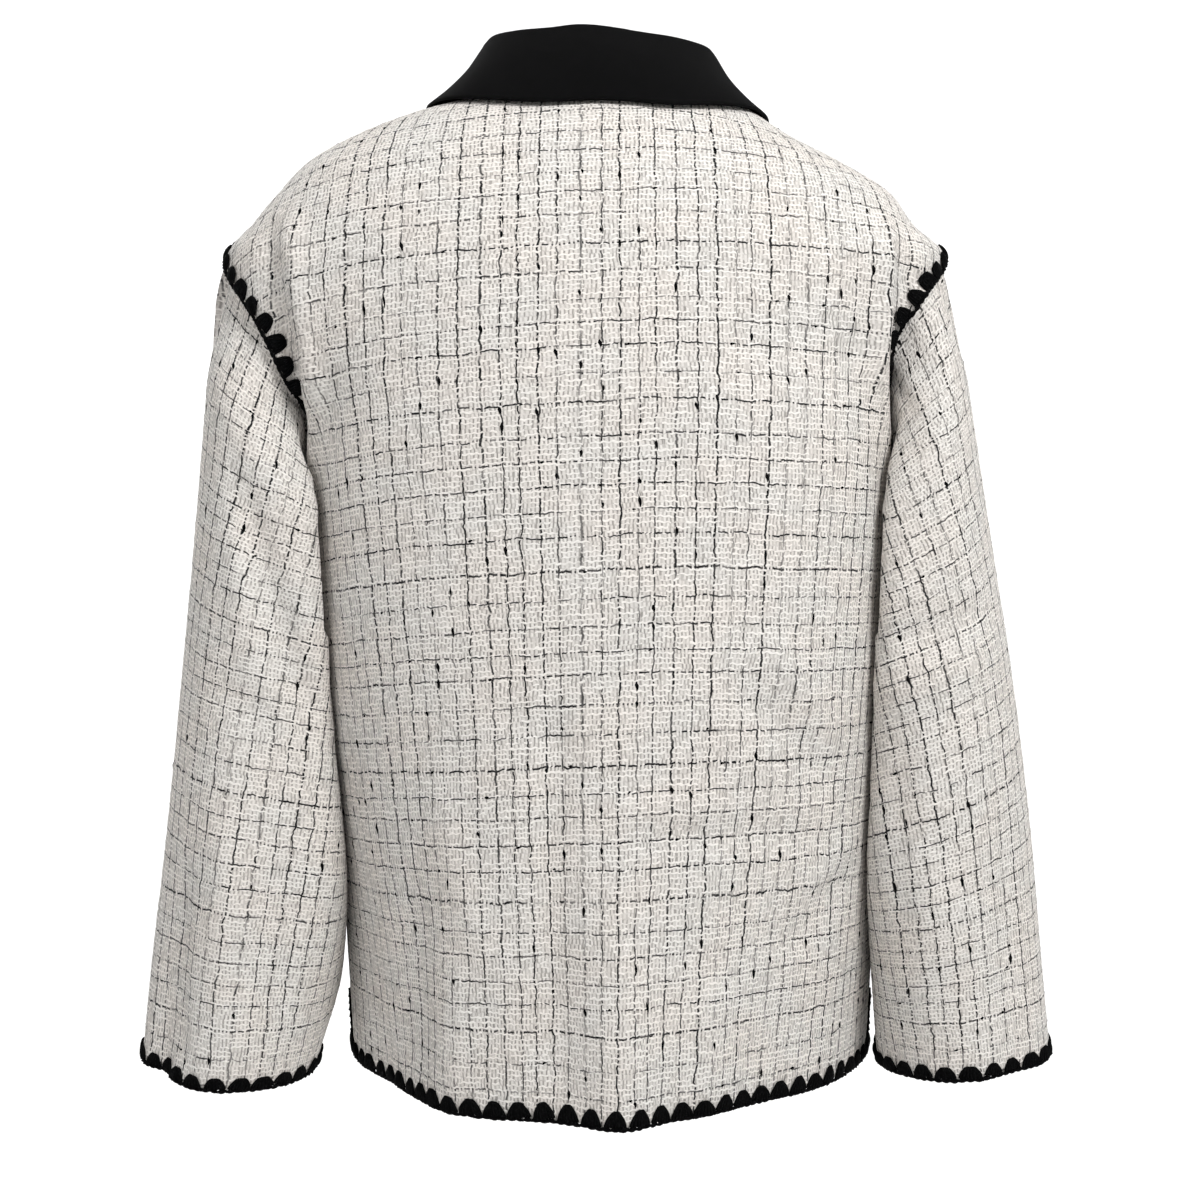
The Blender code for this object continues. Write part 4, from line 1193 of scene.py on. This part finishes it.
# angle round the neckline, height of the stand on the left and on the right, how far it
# leans inward, how far the fold reaches over it, where the outer edge lies on the left and
# on the right, its lift off the body, and the fall's roundness
CollarStation = namedtuple(
    "CollarStation",
    "name angle standLeft standRight lean fold leftX rightX edgeY lift swell")
collarStations = [
    CollarStation("back",            0, 36, 36,  4, 7.0,   0,   0,   75, 2.0, 3.0),
    CollarStation("backQuarter",    32, 37, 34,  8, 7.0,  46,  47,   72, 2.5, 2.0),
    CollarStation("shoulderBack",   64, 39, 32, 14, 7.0,  91,  88,   47, 2.5, -0.5),
    CollarStation("shoulder",       90, 37, 30, 14, 7.0, 115, 111,    4, 1.5, -2.4),
    CollarStation("shoulderFront", 116, 28, 25, 9, 6.5, 114, 108,  -44, 2.0, -2.0),
    CollarStation("chest",         145, 15, 14, 4, 7.5,  96,  93,  -84, 2.5, 1.0),
    CollarStation("point",         171,  6,  6, 0, 6.5,  62,  62, -112, 2.5, 1.0),
]
# the fold's line rises and falls a little: angle, spread and height
collarWaves = [(14, 11, 1.4), (-30, 14, -1.0)]
collarRoll = {
    "rowsPerStation": 16,
    "seam": 1.2 * mm,
    "above": 100 * mm,
    "evenColumns": 7,
    "evenRows": 3,
    "crestOut": 0.45,
    "crestUp": 0.4,
    "foldDrop": 0.2,
    "fall": [(0.36, 1.0), (0.7, 0.8)],
    "sectionPoints": 44,
}


def evened(rows, reach, closed):
    # a running mean along the second axis
    wide = np.concatenate([rows[:, -reach - 1:-1], rows, rows[:, 1:reach + 1]], axis=1)
    if not closed:
        wide = np.concatenate([2 * rows[:, :1] - rows[:, reach:0:-1], rows,
                               2 * rows[:, -1:] - rows[:, -2:-reach - 2:-1]], axis=1)
    return sum(wide[:, k:k + rows.shape[1]] for k in range(2 * reach + 1)) / (2 * reach + 1)


def collarSection(station, side, neckEdge):
    roll = collarRoll
    stand = station[1] if side > 0 else station[2]
    for angle, spread, height in collarWaves:
        stand += height * mm * math.exp(-((side * station[0] - angle) / spread) ** 2)
    lean, fold, leftX, rightX, edgeY, lift, swell = station[3:]
    point, normal, tangent = neckEdge
    across = unit(normal * (1, 1, 0))
    up = np.array([0, 0, 1])
    base = point - normal * cut["tweedThickness"] / 2 + tangent * roll["seam"]
    top = base - across * lean + up * stand
    above = Vector((side * (leftX if side > 0 else rightX), edgeY, roll["above"]))
    hit = np.array(bodyTree.ray_cast(above, Vector((0, 0, -1)))[0])
    clearance = lift + cut["collarThickness"] / 2
    edge = keepOnTop(hit, bodyTree, clearance)
    crest = top + across * fold * roll["crestOut"] + up * fold * roll["crestUp"]
    far = top + across * fold - up * fold * roll["foldDrop"]
    bulge = (across + up) * swell
    fall = [keepOnTop(far + (edge - far) * share + bulge * amount, bodyTree, clearance)
            for share, amount in roll["fall"]]
    middle = base + (top - base) * 0.5
    rough = np.array([base, middle, top, crest, far] + fall + [edge])
    places = lengthAlong(rough)
    return np.array([between(rough, at) for at in
                     np.interp(np.linspace(0, places[-1], roll["sectionPoints"]), places,
                               np.arange(len(rough)))])


def collarGrid():
    top = np.vstack([fronts[-1][0][-1][::-1], backFace[-1], fronts[1][0][-1]])
    out = np.vstack([fronts[-1][1][-1][::-1], backOut[-1], fronts[1][1][-1]])
    below = np.vstack([fronts[-1][0][-4][::-1], backFace[-4], fronts[1][0][-4]])
    tangents = unit(top - below)
    out, tangents = evened(np.stack([out, tangents]), collarRoll["evenColumns"], False)
    angles = np.degrees(np.arctan2(top[:, 0], top[:, 1]))
    table = np.array([row[1:] for row in collarStations], float)
    table[:, 1:] *= mm
    per = collarRoll["rowsPerStation"]
    steps = (len(collarStations) - 1) * per
    rows = []
    for side in (1, -1):
        half = []
        for k in range(steps + 1):
            station = between(table, k / per)
            edge = [columnsAt(a, angles, np.array([side * station[0]]))[0]
                    for a in (top, out, tangents)]
            half.append(collarSection(station, side, edge))
        rows += half[::-1] if side > 0 else half[1:]
    points = np.array(rows).transpose(1, 0, 2)
    return evened(points, collarRoll["evenRows"], False).transpose(1, 0, 2)


def collarFlat(grid):
    middle = grid.shape[1] // 2
    u = lengthAlong(grid[:, middle])
    v = np.array([lengthAlong(row) for row in grid])
    return np.stack([np.repeat(u[:, None], grid.shape[1], axis=1), v], axis=-1)


collarFace = collarGrid()
collarOut = unit(np.cross(np.gradient(collarFace, axis=1), np.gradient(collarFace, axis=0)))
collarPiece = clothWall("collarCloth", collarFace + collarOut * cut["collarThickness"] / 2,
                        collarOut, collarFlat(collarFace), cut["collarThickness"],
                        collarCloth)
print("collar ready")


# scalloped edging

# one scallop is a fan of yarn strands that starts in the cloth and spreads to the edge,
# where a chain of stitches holds them
trimLook = {
    "pitch": 15.2 * mm,
    "strands": 7,
    "strandRadius": 1.25 * mm,
    "strandTaper": 0.32,
    "strandFullness": (1.05, 0.15),
    "sideDrop": 0.12,
    "belly": 0.7 * mm,
    "sideBelly": 0.5,
    "dome": 0.35,
    "tubePoints": 6,
    "tubeSides": 6,
    "stitches": 3,
    "stitchRadius": 1.05 * mm,
    "stitchTaper": 0.35,
    "stitchReach": 0.62,
    "stitchCross": 0.25 * mm,
    "stitchDip": 0.6,
    "chainDrop": 1.2 * mm,
    "chainSwing": 0.7 * mm,
    "overhang": 2.3 * mm,
    "turns": ((-0.10, -0.14, -0.14), (0.05, 0.14, 0.14)),
    "sizes": ((0.93, 0.90, 0.90), (1.05, 1.07, 1.10)),
    "seed": 7,
    "stitchSeed": 11,
    "pathStep": 1.5 * mm,
    "evenPath": 2,
    "evenNormals": 3,
    "pastTop": 1.5,
}
# height of a scallop, half its width at the edge, half way up and at the top, how much its
# parts vary, and how far the yarn stands off the cloth
Scallop = namedtuple("Scallop", "name height edgeHalf middleHalf topHalf unevenness lift")
scallops = {
    "hem": Scallop("hem", 10.4, 7.4, 6.0, 2.9, 1.0, 0.75),
    "cuff": Scallop("cuff", 8.4, 7.4, 6.2, 3.4, 1.2, 0.75),
    "front": Scallop("front", 10.4, 7.4, 6.0, 2.9, 1.0, 0.75),
    "armhole": Scallop("armhole", 11.0, 6.5, 5.8, 3.7, 1.3, 1.35),
}


def tubeMesh(name, paths, radii, sides):
    # closed tubes along some paths
    points, faces = [], []
    for path, radius in zip(paths, radii):
        path, start = np.asarray(path), len(points)
        ahead = unit(np.gradient(path, axis=0))
        side = unit(np.cross(ahead, [0.0, 0.0, 1.0]) + [1e-6, 0, 0])
        up = np.cross(side, ahead)
        turn = 2 * math.pi * np.arange(sides) / sides
        for k in range(len(path)):
            ring = (path[k] + radius[k] * (np.cos(turn)[:, None] * side[k]
                                           + np.sin(turn)[:, None] * up[k]))
            points += list(ring)
        for k in range(len(path) - 1):
            for n in range(sides):
                a, b = start + k * sides + n, start + k * sides + (n + 1) % sides
                faces.append((a, b, b + sides, a + sides))
        faces.append(tuple(start + n for n in reversed(range(sides))))
        end = start + (len(path) - 1) * sides
        faces.append(tuple(end + n for n in range(sides)))
    piece = addMesh(name, points, faces, None, None)
    makeOutward(piece)
    return piece


def scallopFan(shape):
    # strands rise from the edge to the top, along flanks that are nearly straight. Those at
    # the sides are thinner, shorter and flatter
    look = trimLook
    rows = [(shape.edgeHalf,), (shape.middleHalf,), (shape.topHalf,)]
    full, thinner = look["strandFullness"]
    paths, radii = [], []
    for spread in np.linspace(-1, 1, look["strands"]):
        t = np.linspace(0, 1, look["tubePoints"])
        reach = np.array([between(rows, 2 * k)[0] for k in t]) * mm
        radius = (look["strandRadius"] * (1 - look["strandTaper"] * t)
                  * (full - thinner * abs(spread)))
        height = ((shape.height * mm - radius[-1])
                  * (1 - look["sideDrop"] * spread ** 2) * t)
        x = spread * (reach - radius)
        z = (look["belly"] * np.sin(t * math.pi) * (1 - look["sideBelly"] * spread ** 2)
             + look["strandRadius"] * look["dome"] * (1 - abs(spread)))
        paths.append(np.stack([x, height, z], axis=1))
        radii.append(radius)
    return tubeMesh(shape.name + "Fan", paths, radii, look["tubeSides"])


def chainStitch():
    # one link: two strands that cross
    look = trimLook
    length = look["pitch"] / look["stitches"]
    t = np.linspace(-look["stitchReach"], look["stitchReach"], look["tubePoints"])
    swing = look["chainSwing"] * np.cos(t * math.pi)
    paths = [np.stack([t * length, -look["chainDrop"] + way * swing,
                       way * look["stitchCross"] - look["stitchDip"] * swing], axis=1)
             for way in (1, -1)]
    radius = look["stitchRadius"] * (1 - look["stitchTaper"] * np.abs(t) / look["stitchReach"])
    return tubeMesh("chainStitch", paths, [radius] * 2, look["tubeSides"])


def trimTree():
    # a straight strip of scallops and chain stitches along x
    g = Growth("scallopTrim", {
        "Scallops": "Int", "Stitches": "Int", "Scallop Pitch": "Float",
        "Stitch Pitch": "Float", "Unevenness": "Float", "Seed": "Int", "Fan": "Object",
        "Stitch": "Object", "Yarn": "Material"})
    given = g.given
    joined = g.node("GeometryNodeJoinGeometry")
    for count, pitch, thing, extra in (
            ("Scallops", "Scallop Pitch", "Fan", 0),
            ("Stitches", "Stitch Pitch", "Stitch", trimLook["stitchSeed"])):
        step = g.join(given[pitch], 0.0)
        row = g.node("GeometryNodeMeshLine", {
            "Count": given[count], "Start Location": g.vectors("SCALE", step, Scale=0.5),
            "Offset": step}).outputs[0]
        seed = g.add(given["Seed"], extra)
        turns = [g.vectors("SCALE", limit, Scale=given["Unevenness"])
                 for limit in trimLook["turns"]]
        made = g.copies(row, given[thing], g.luck(*turns, seed),
                        g.luck(*trimLook["sizes"], seed))
        g.tree.links.new(made, joined.inputs[0])
    return g.finish(joined.outputs[0])


fans = {name: scallopFan(shape) for name, shape in scallops.items()}
stitch, trim = chainStitch(), trimTree()


def shorten(rows, path, length):
    run = lengthAlong(path)
    kept = run[(run > length) & (run < run[-1] - length)]
    return columnsAt(rows, run, np.concatenate([[length], kept, [run[-1] - length]]))


def stripOnCloth(path, inward, out, tree, depth):
    # walks from the edge into the cloth in steps of a millimetre, and evens out the result
    count = math.ceil(depth / mm) + 2
    points, normals = [path], [out]
    ahead = inward
    for _ in range(count):
        found = [tree.find_nearest(Vector(p))[:2] for p in points[-1] + ahead * mm]
        points.append(np.array([near for near, normal in found]))
        normals.append(unit(normals[-1] + np.array([normal for near, normal in found])))
        ahead = unit(unit(points[-1] - points[-2]) + ahead)
    return np.array(points), np.array(normals)


def edging(name, kind, path, inward, out, tree, closed=False, bare=False):
    # wraps a straight strip on the cloth: x runs along the edge, y into the cloth, z out
    look = trimLook
    if closed:
        path, inward, out = (np.vstack([a, a[:1]]) for a in (path, inward, out))
    run = lengthAlong(path)
    count = round(run[-1] / look["pitch"])
    pitch = run[-1] / count
    piece = grown(name, bpy.data.meshes.new(name), trim, {
        "Scallops": 0 if bare else count, "Stitches": count * look["stitches"],
        "Scallop Pitch": pitch, "Stitch Pitch": pitch / look["stitches"],
        "Unevenness": scallops[kind].unevenness, "Seed": look["seed"] + len(name),
        "Fan": fans[kind], "Stitch": stitch, "Yarn": edgingYarn})
    mesh = piece.data
    flat = np.zeros(len(mesh.vertices) * 3, np.float32)
    mesh.vertices.foreach_get("co", flat)
    flat = flat.reshape(-1, 3).astype(float)
    places = np.linspace(0, run[-1], math.ceil(run[-1] / look["pathStep"]))
    path, inward, out = (columnsAt(a, run, places) for a in (path, inward, out))
    strip, normals = stripOnCloth(path, unit(inward), unit(out), tree,
                                  (scallops[kind].height + look["pastTop"]) * mm)
    strip = evened(strip, look["evenPath"], closed)
    normals = unit(evened(normals, look["evenNormals"], closed))
    ahead = unit(np.gradient(strip[0], axis=0))
    along = flat[:, 0] % run[-1] if closed else flat[:, 0]
    at = np.clip(along / places[1], 0, len(places) - 1.001)
    deep = np.clip(flat[:, 1] / mm, 0, len(strip) - 1.001)
    column, level = at.astype(int), deep.astype(int)
    right, up = (at - column)[:, None], (deep - level)[:, None]

    def read(rows):
        return ((rows[level, column] * (1 - right) + rows[level, column + 1] * right) * (1 - up)
                + (rows[level + 1, column] * (1 - right)
                   + rows[level + 1, column + 1] * right) * up)

    past = np.where(closed, 0.0, np.minimum(flat[:, 0], 0) + np.maximum(flat[:, 0] - run[-1], 0))
    first = strip[1] - strip[0]
    placed = (read(strip) + unit(read(normals)) * (flat[:, 2] + scallops[kind].lift * mm)[:, None]
              + unit(first[column]) * np.minimum(flat[:, 1], 0.0)[:, None]
              + ahead[column] * past[:, None])
    mesh.vertices.foreach_set("co", placed.astype(np.float32).ravel())
    mesh.update()
    return piece


edgings = {}
for side, word in sides:
    loop, loopOut = armholeLoop(side)
    edgings["edging_armhole_" + word] = edging(
        "armholeEdging_" + word, "armhole", loop, loopInward(loop, loopOut), loopOut,
        bodyTree, closed=True)
    grid, out, flat = sleeves[side]
    sleeveTree = surfaceTree((grid, out, True))
    edgings["edging_cuff_" + word] = edging(
        "cuffEdging_" + word, "cuff", grid[-1], unit(grid[-2] - grid[-1]), out[-1],
        sleeveTree, closed=True)
    face, out = fronts[side][:2]
    path = face[:, -1].copy()
    path[0] -= unit(path[1] - path[0]) * trimLook["overhang"]
    edgings["edging_front_" + word] = edging(
        "frontEdging_" + word, "front", path, unit(face[:, -3] - face[:, -1]), out[:, -1],
        bodyTree)

hemCorner = 2.4     # how far the hem's edging starts beyond a front's scallops
corner = (scallops["hem"].height + hemCorner) * mm
hemRows = [np.vstack([fronts[1][k][r][::-1], (backFace, backOut)[k][r][::-1],
                      fronts[-1][k][r]]) for k, r in ((0, 0), (1, 0), (0, 1))]
hemPath, hemOut, hemAbove = (shorten(row, hemRows[0], corner) for row in hemRows)
edgings["edging_hem"] = edging("hemEdging", "hem", hemPath, unit(hemAbove - hemPath), hemOut,
                               bodyTree)
# the hem's yarn runs a little way up each side seam
seamRuns = {"rows": slice(0, 13), "aside": 1.0 * mm}
seamPieces = []
for side, word in sides:
    column = -1 if side > 0 else 0
    path, out = backFace[seamRuns["rows"], column], backOut[seamRuns["rows"], column]
    inward = unit(backFace[seamRuns["rows"], column - side] - path)
    seamPieces.append(edging("seamEdging_" + word, "front", path + inward * seamRuns["aside"],
                             inward, out, bodyTree, bare=True))
for maker in (*fans.values(), stitch):
    bpy.data.objects.remove(maker)
print("edging ready")


# black slubs

# thick spots of the dark yarn, which stand out of the cloth on its dark lines
slubLook = {
    "seed": 19,
    "warpSpacing": 100.0,
    "weftSpacing": 130.0,
    "warpLength": (3.6, 8.5),
    "weftLength": (2.4, 5.0),
    "width": (1.3, 2.3),
    "thickness": 0.55,
    "weftShare": 0.75,
    "sink": 0.2 * mm,
    "apart": 9.0,
    "offLine": 0.3,
    "widestQuad": 30.0,
    "unevenness": 0.0001,
    "bulges": ((0.28, 9), (0.12, 23)),
    "sway": (0.10, 6),
}


def slubMesh():
    # a knobbly spindle along x, one unit long and one unit wide
    (big, bigWaves), (small, smallWaves) = slubLook["bulges"]
    sway, swayWaves = slubLook["sway"]
    bpy.ops.mesh.primitive_ico_sphere_add(subdivisions=2, radius=0.5)
    knob = bpy.context.object
    knob.name = "slubKnob"
    for vertex in knob.data.vertices:
        x, y, z = vertex.co
        bulge = 1 + big * math.sin(bigWaves * x + 1) + small * math.sin(smallWaves * x + 4 * y)
        vertex.co = (x, y * bulge + sway * math.sin(swayWaves * x), z * bulge)
    knob.data.shade_smooth()
    return knob


def slubTree():
    g = Growth("slubs", {"Knob": "Object", "Yarn": "Material"})

    def stored(name):
        return g.node("GeometryNodeInputNamedAttribute", {"Name": name},
                      data_type="FLOAT_VECTOR").outputs["Attribute"]

    upright = g.node("FunctionNodeAlignEulerToVector", {"Vector": stored("out")}, axis="Z")
    lengthwise = g.node("FunctionNodeAlignEulerToVector",
                        {"Rotation": upright.outputs[0], "Vector": stored("ahead")},
                        axis="X", pivot_axis="Z")
    return g.finish(g.copies(g.given["Geometry"], g.given["Knob"], lengthwise.outputs[0],
                             stored("size")))


def linePlaces(lines, low, high):
    place = np.arange(low, high, 0.05)
    number = lineNumber(lines, place)
    marks = np.arange(math.ceil(number[0]), math.floor(number[-1]) + 1)
    return np.interp(marks, number, place)


def nearEdge(row, column, rows, columns):
    return row < 3 or row > rows - 6 or column < 2 or column > columns - 4


def slubs(name, face, out, flat, chance):
    # picks spots on the dark lines of a piece of cloth, in its flat pattern
    look = slubLook
    flat = flat * 1000
    wide = flat.shape[1]
    face, out = (np.concatenate([a, a[:, :wide - a.shape[1]]], axis=1) for a in (face, out))
    flatTree = surfaceTree((np.concatenate([flat, flat[:, :, :1] * 0], axis=2),
                            np.broadcast_to([0.0, 0.0, 1.0], (*flat.shape[:2], 3)), False))
    lowU, highU = flat[..., 0].min(), flat[..., 0].max()
    lowV, highV = flat[..., 1].min(), flat[..., 1].max()
    spots = []
    for upward, yarn, low, high, start, end in (
            (1, "warp", lowU, highU, lowV, highV), (0, "weft", lowV, highV, lowU, highU)):
        for line in linePlaces(tweedLook[yarn + "Lines"], low, high):
            along = start + chance.exponential(look[yarn + "Spacing"])
            while along < end:
                place = (line, along) if upward else (along, line)
                spots.append((*place, upward, chance.uniform(*look[yarn + "Length"])))
                along += look["apart"] + chance.exponential(look[yarn + "Spacing"])
    points, outs, aheads, sizes = [], [], [], []
    for u, v, upward, length in spots:
        width = chance.uniform(*look["width"]) * (1.0 if upward else look["weftShare"])
        near, _, quad, away = flatTree.find_nearest(Vector((u, v, 0)))
        if near is None or away > look["offLine"]:
            continue
        r, c = divmod(quad, wide - 1)
        rows, columns = np.array([r, r, r + 1, r + 1]), np.array([c, c + 1, c + 1, c])
        corners = flat[rows, columns]
        if nearEdge(r, c, *face.shape[:2]) or np.ptp(corners[:, 0]) > look["widestQuad"]:
            continue
        # the place in the quad, by its distances to the corners
        weight = 1 / (np.linalg.norm(corners - (u, v), axis=1) + 0.01)
        weight /= weight.sum()
        quadPoints = face[rows, columns]
        points.append(weight @ quadPoints)
        outs.append(unit(weight @ out[rows, columns]))
        (stepU, stepV), (alongU, alongV) = (
            ((q[1] + q[2] - q[0] - q[3]) / 2, (q[3] + q[2] - q[0] - q[1]) / 2)
            for q in (corners, quadPoints))
        mixed = np.linalg.solve(np.array([stepU, stepV]).T, (0.0, 1.0) if upward else (1.0, 0.0))
        aheads.append(unit(mixed[0] * alongU + mixed[1] * alongV
                           + chance.normal(0, look["unevenness"], 3)))
        sizes.append(np.array([length, width, width * look["thickness"]]) * mm)
    mesh = bpy.data.meshes.new(name + "Spots")
    mesh.from_pydata([tuple(p - n * look["sink"]) for p, n in zip(points, outs)], [], [])
    for key, values in (("out", outs), ("ahead", aheads), ("size", sizes)):
        layer = mesh.attributes.new(key, "FLOAT_VECTOR", "POINT")
        layer.data.foreach_set("vector", np.array(values, np.float32).ravel())
    print(name, len(points), "slubs")
    return grown(name, mesh, slubPattern, {"Knob": slubKnob, "Yarn": slubYarn})


slubKnob, slubPattern = slubMesh(), slubTree()
chance = np.random.default_rng(slubLook["seed"])
slubPieces = [slubs("slubs_back", backFace, backOut, backFlat, chance)]
for side, word in sides:
    slubPieces.append(slubs("slubs_front_" + word, *fronts[side], chance))
    slubPieces.append(slubs("slubs_sleeve_" + word, *sleeves[side], chance))
bpy.data.objects.remove(slubKnob)
print("slubs ready")


# studio

studio = {
    "floorZ": -1.40,
    "floorRadius": 2.6,
    "curveRadius": 1.2,
    "wallTop": 2.4,
    "innerRadii": (0.4, 1.2),
    "sides": 96,
    "curveSteps": 12,
    "paper": (0.76, 0.76, 0.76),
    "finish": {"Roughness": 0.9, "Specular IOR Level": 0.1},
    "sky": 0.30,
    "cameraPlace": (0.0, 1.10, -0.33),
    "lens": 49.2,
    "sensor": 36.0,
}
# name, place, what it looks at, size and watts
Lamp = namedtuple("Lamp", "name place aim size watts")
lamps = [
    Lamp("keyRight",  (-1.05, 1.6,  1.15), (0, 0, -0.20), 0.8, 40),
    Lamp("fillLeft",  ( 1.3,  1.7,  0.9), (0, 0, -0.15), 1.2, 9),
    Lamp("over",      ( 0.0, -0.2,  1.8), (0, 0, -0.30), 1.6, 8),
    Lamp("frontLeft", ( 1.2, -1.7,  0.7), (0, 0, -0.30), 1.2, 14),
    Lamp("frontRight", (-1.4, -1.7, 0.3), (0, 0, -0.35), 1.4, 5),
    Lamp("wallLeft",  ( 1.4, -1.3,  1.0), (0.9, -3.8, -0.2), 1.2, 54),
    Lamp("wallRight", (-1.4, -1.3,  1.0), (-0.9, -3.8, -0.2), 1.2, 54),
]


def studioBowl():
    # a round floor that curves up into a wall, open at the top
    sides, floor, curve = studio["sides"], studio["floorRadius"], studio["curveRadius"]
    profile = [(radius, 0.0) for radius in (*studio["innerRadii"], floor)]
    profile += [(floor + curve * math.sin(a), curve * (1 - math.cos(a)))
                for a in np.linspace(0, math.pi / 2, studio["curveSteps"] + 1)[1:]]
    profile.append((floor + curve, studio["wallTop"] - studio["floorZ"]))
    points = [(0.0, 0.0, studio["floorZ"])]
    for radius, height in profile:
        for angle in 2 * math.pi * np.arange(sides) / sides:
            points.append((radius * math.cos(angle), radius * math.sin(angle),
                           studio["floorZ"] + height))
    faces = [(0, 1 + k, 1 + (k + 1) % sides) for k in range(sides)]
    for ring in range(len(profile) - 1):
        for k in range(sides):
            a, b = 1 + ring * sides + k, 1 + ring * sides + (k + 1) % sides
            faces.append((a, a + sides, b + sides, b))
    paper = Surface("studioPaper").finish(studio["paper"], studio["finish"])
    return addMesh("studioBowl", points, faces, None, paper)


studioBowl()

world = bpy.data.worlds.new("studioSky")
bpy.context.scene.world = world
world.use_nodes = True
sky = world.node_tree.nodes["Background"].inputs
sky["Color"].default_value = (1.0, 1.0, 1.0, 1.0)
sky["Strength"].default_value = studio["sky"]

for lamp in lamps:
    light = bpy.data.lights.new(lamp.name, "AREA")
    light.shape = "DISK"
    light.size = lamp.size
    light.energy = lamp.watts
    holder = addObject(lamp.name, light)
    holder.location = lamp.place
    holder.visible_camera = False
    ahead = Vector(lamp.aim) - Vector(lamp.place)
    holder.rotation_euler = ahead.to_track_quat("-Z", "Y").to_euler()

camera = addObject("camera", bpy.data.cameras.new("camera"))
camera.location = studio["cameraPlace"]
camera.rotation_euler = (math.radians(90), 0, math.radians(180))
camera.data.lens = studio["lens"]
camera.data.sensor_width = studio["sensor"]
bpy.context.scene.camera = camera
bpy.context.scene.view_settings.view_transform = "Standard"


# the pieces hang from the root, and the parts of model.glb that the cloth and edging stand for are
# hidden

# width and length of the cut, and its area in square metres, turnings left out
Sheet = namedtuple("Sheet", "node width length area")
cloths = {**tweedPieces, "collar": collarPiece}
for node, piece in {**cloths, **edgings}.items():
    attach(piece, "root")
    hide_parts(node)
for piece in seamPieces + slubPieces:
    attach(piece, "root")
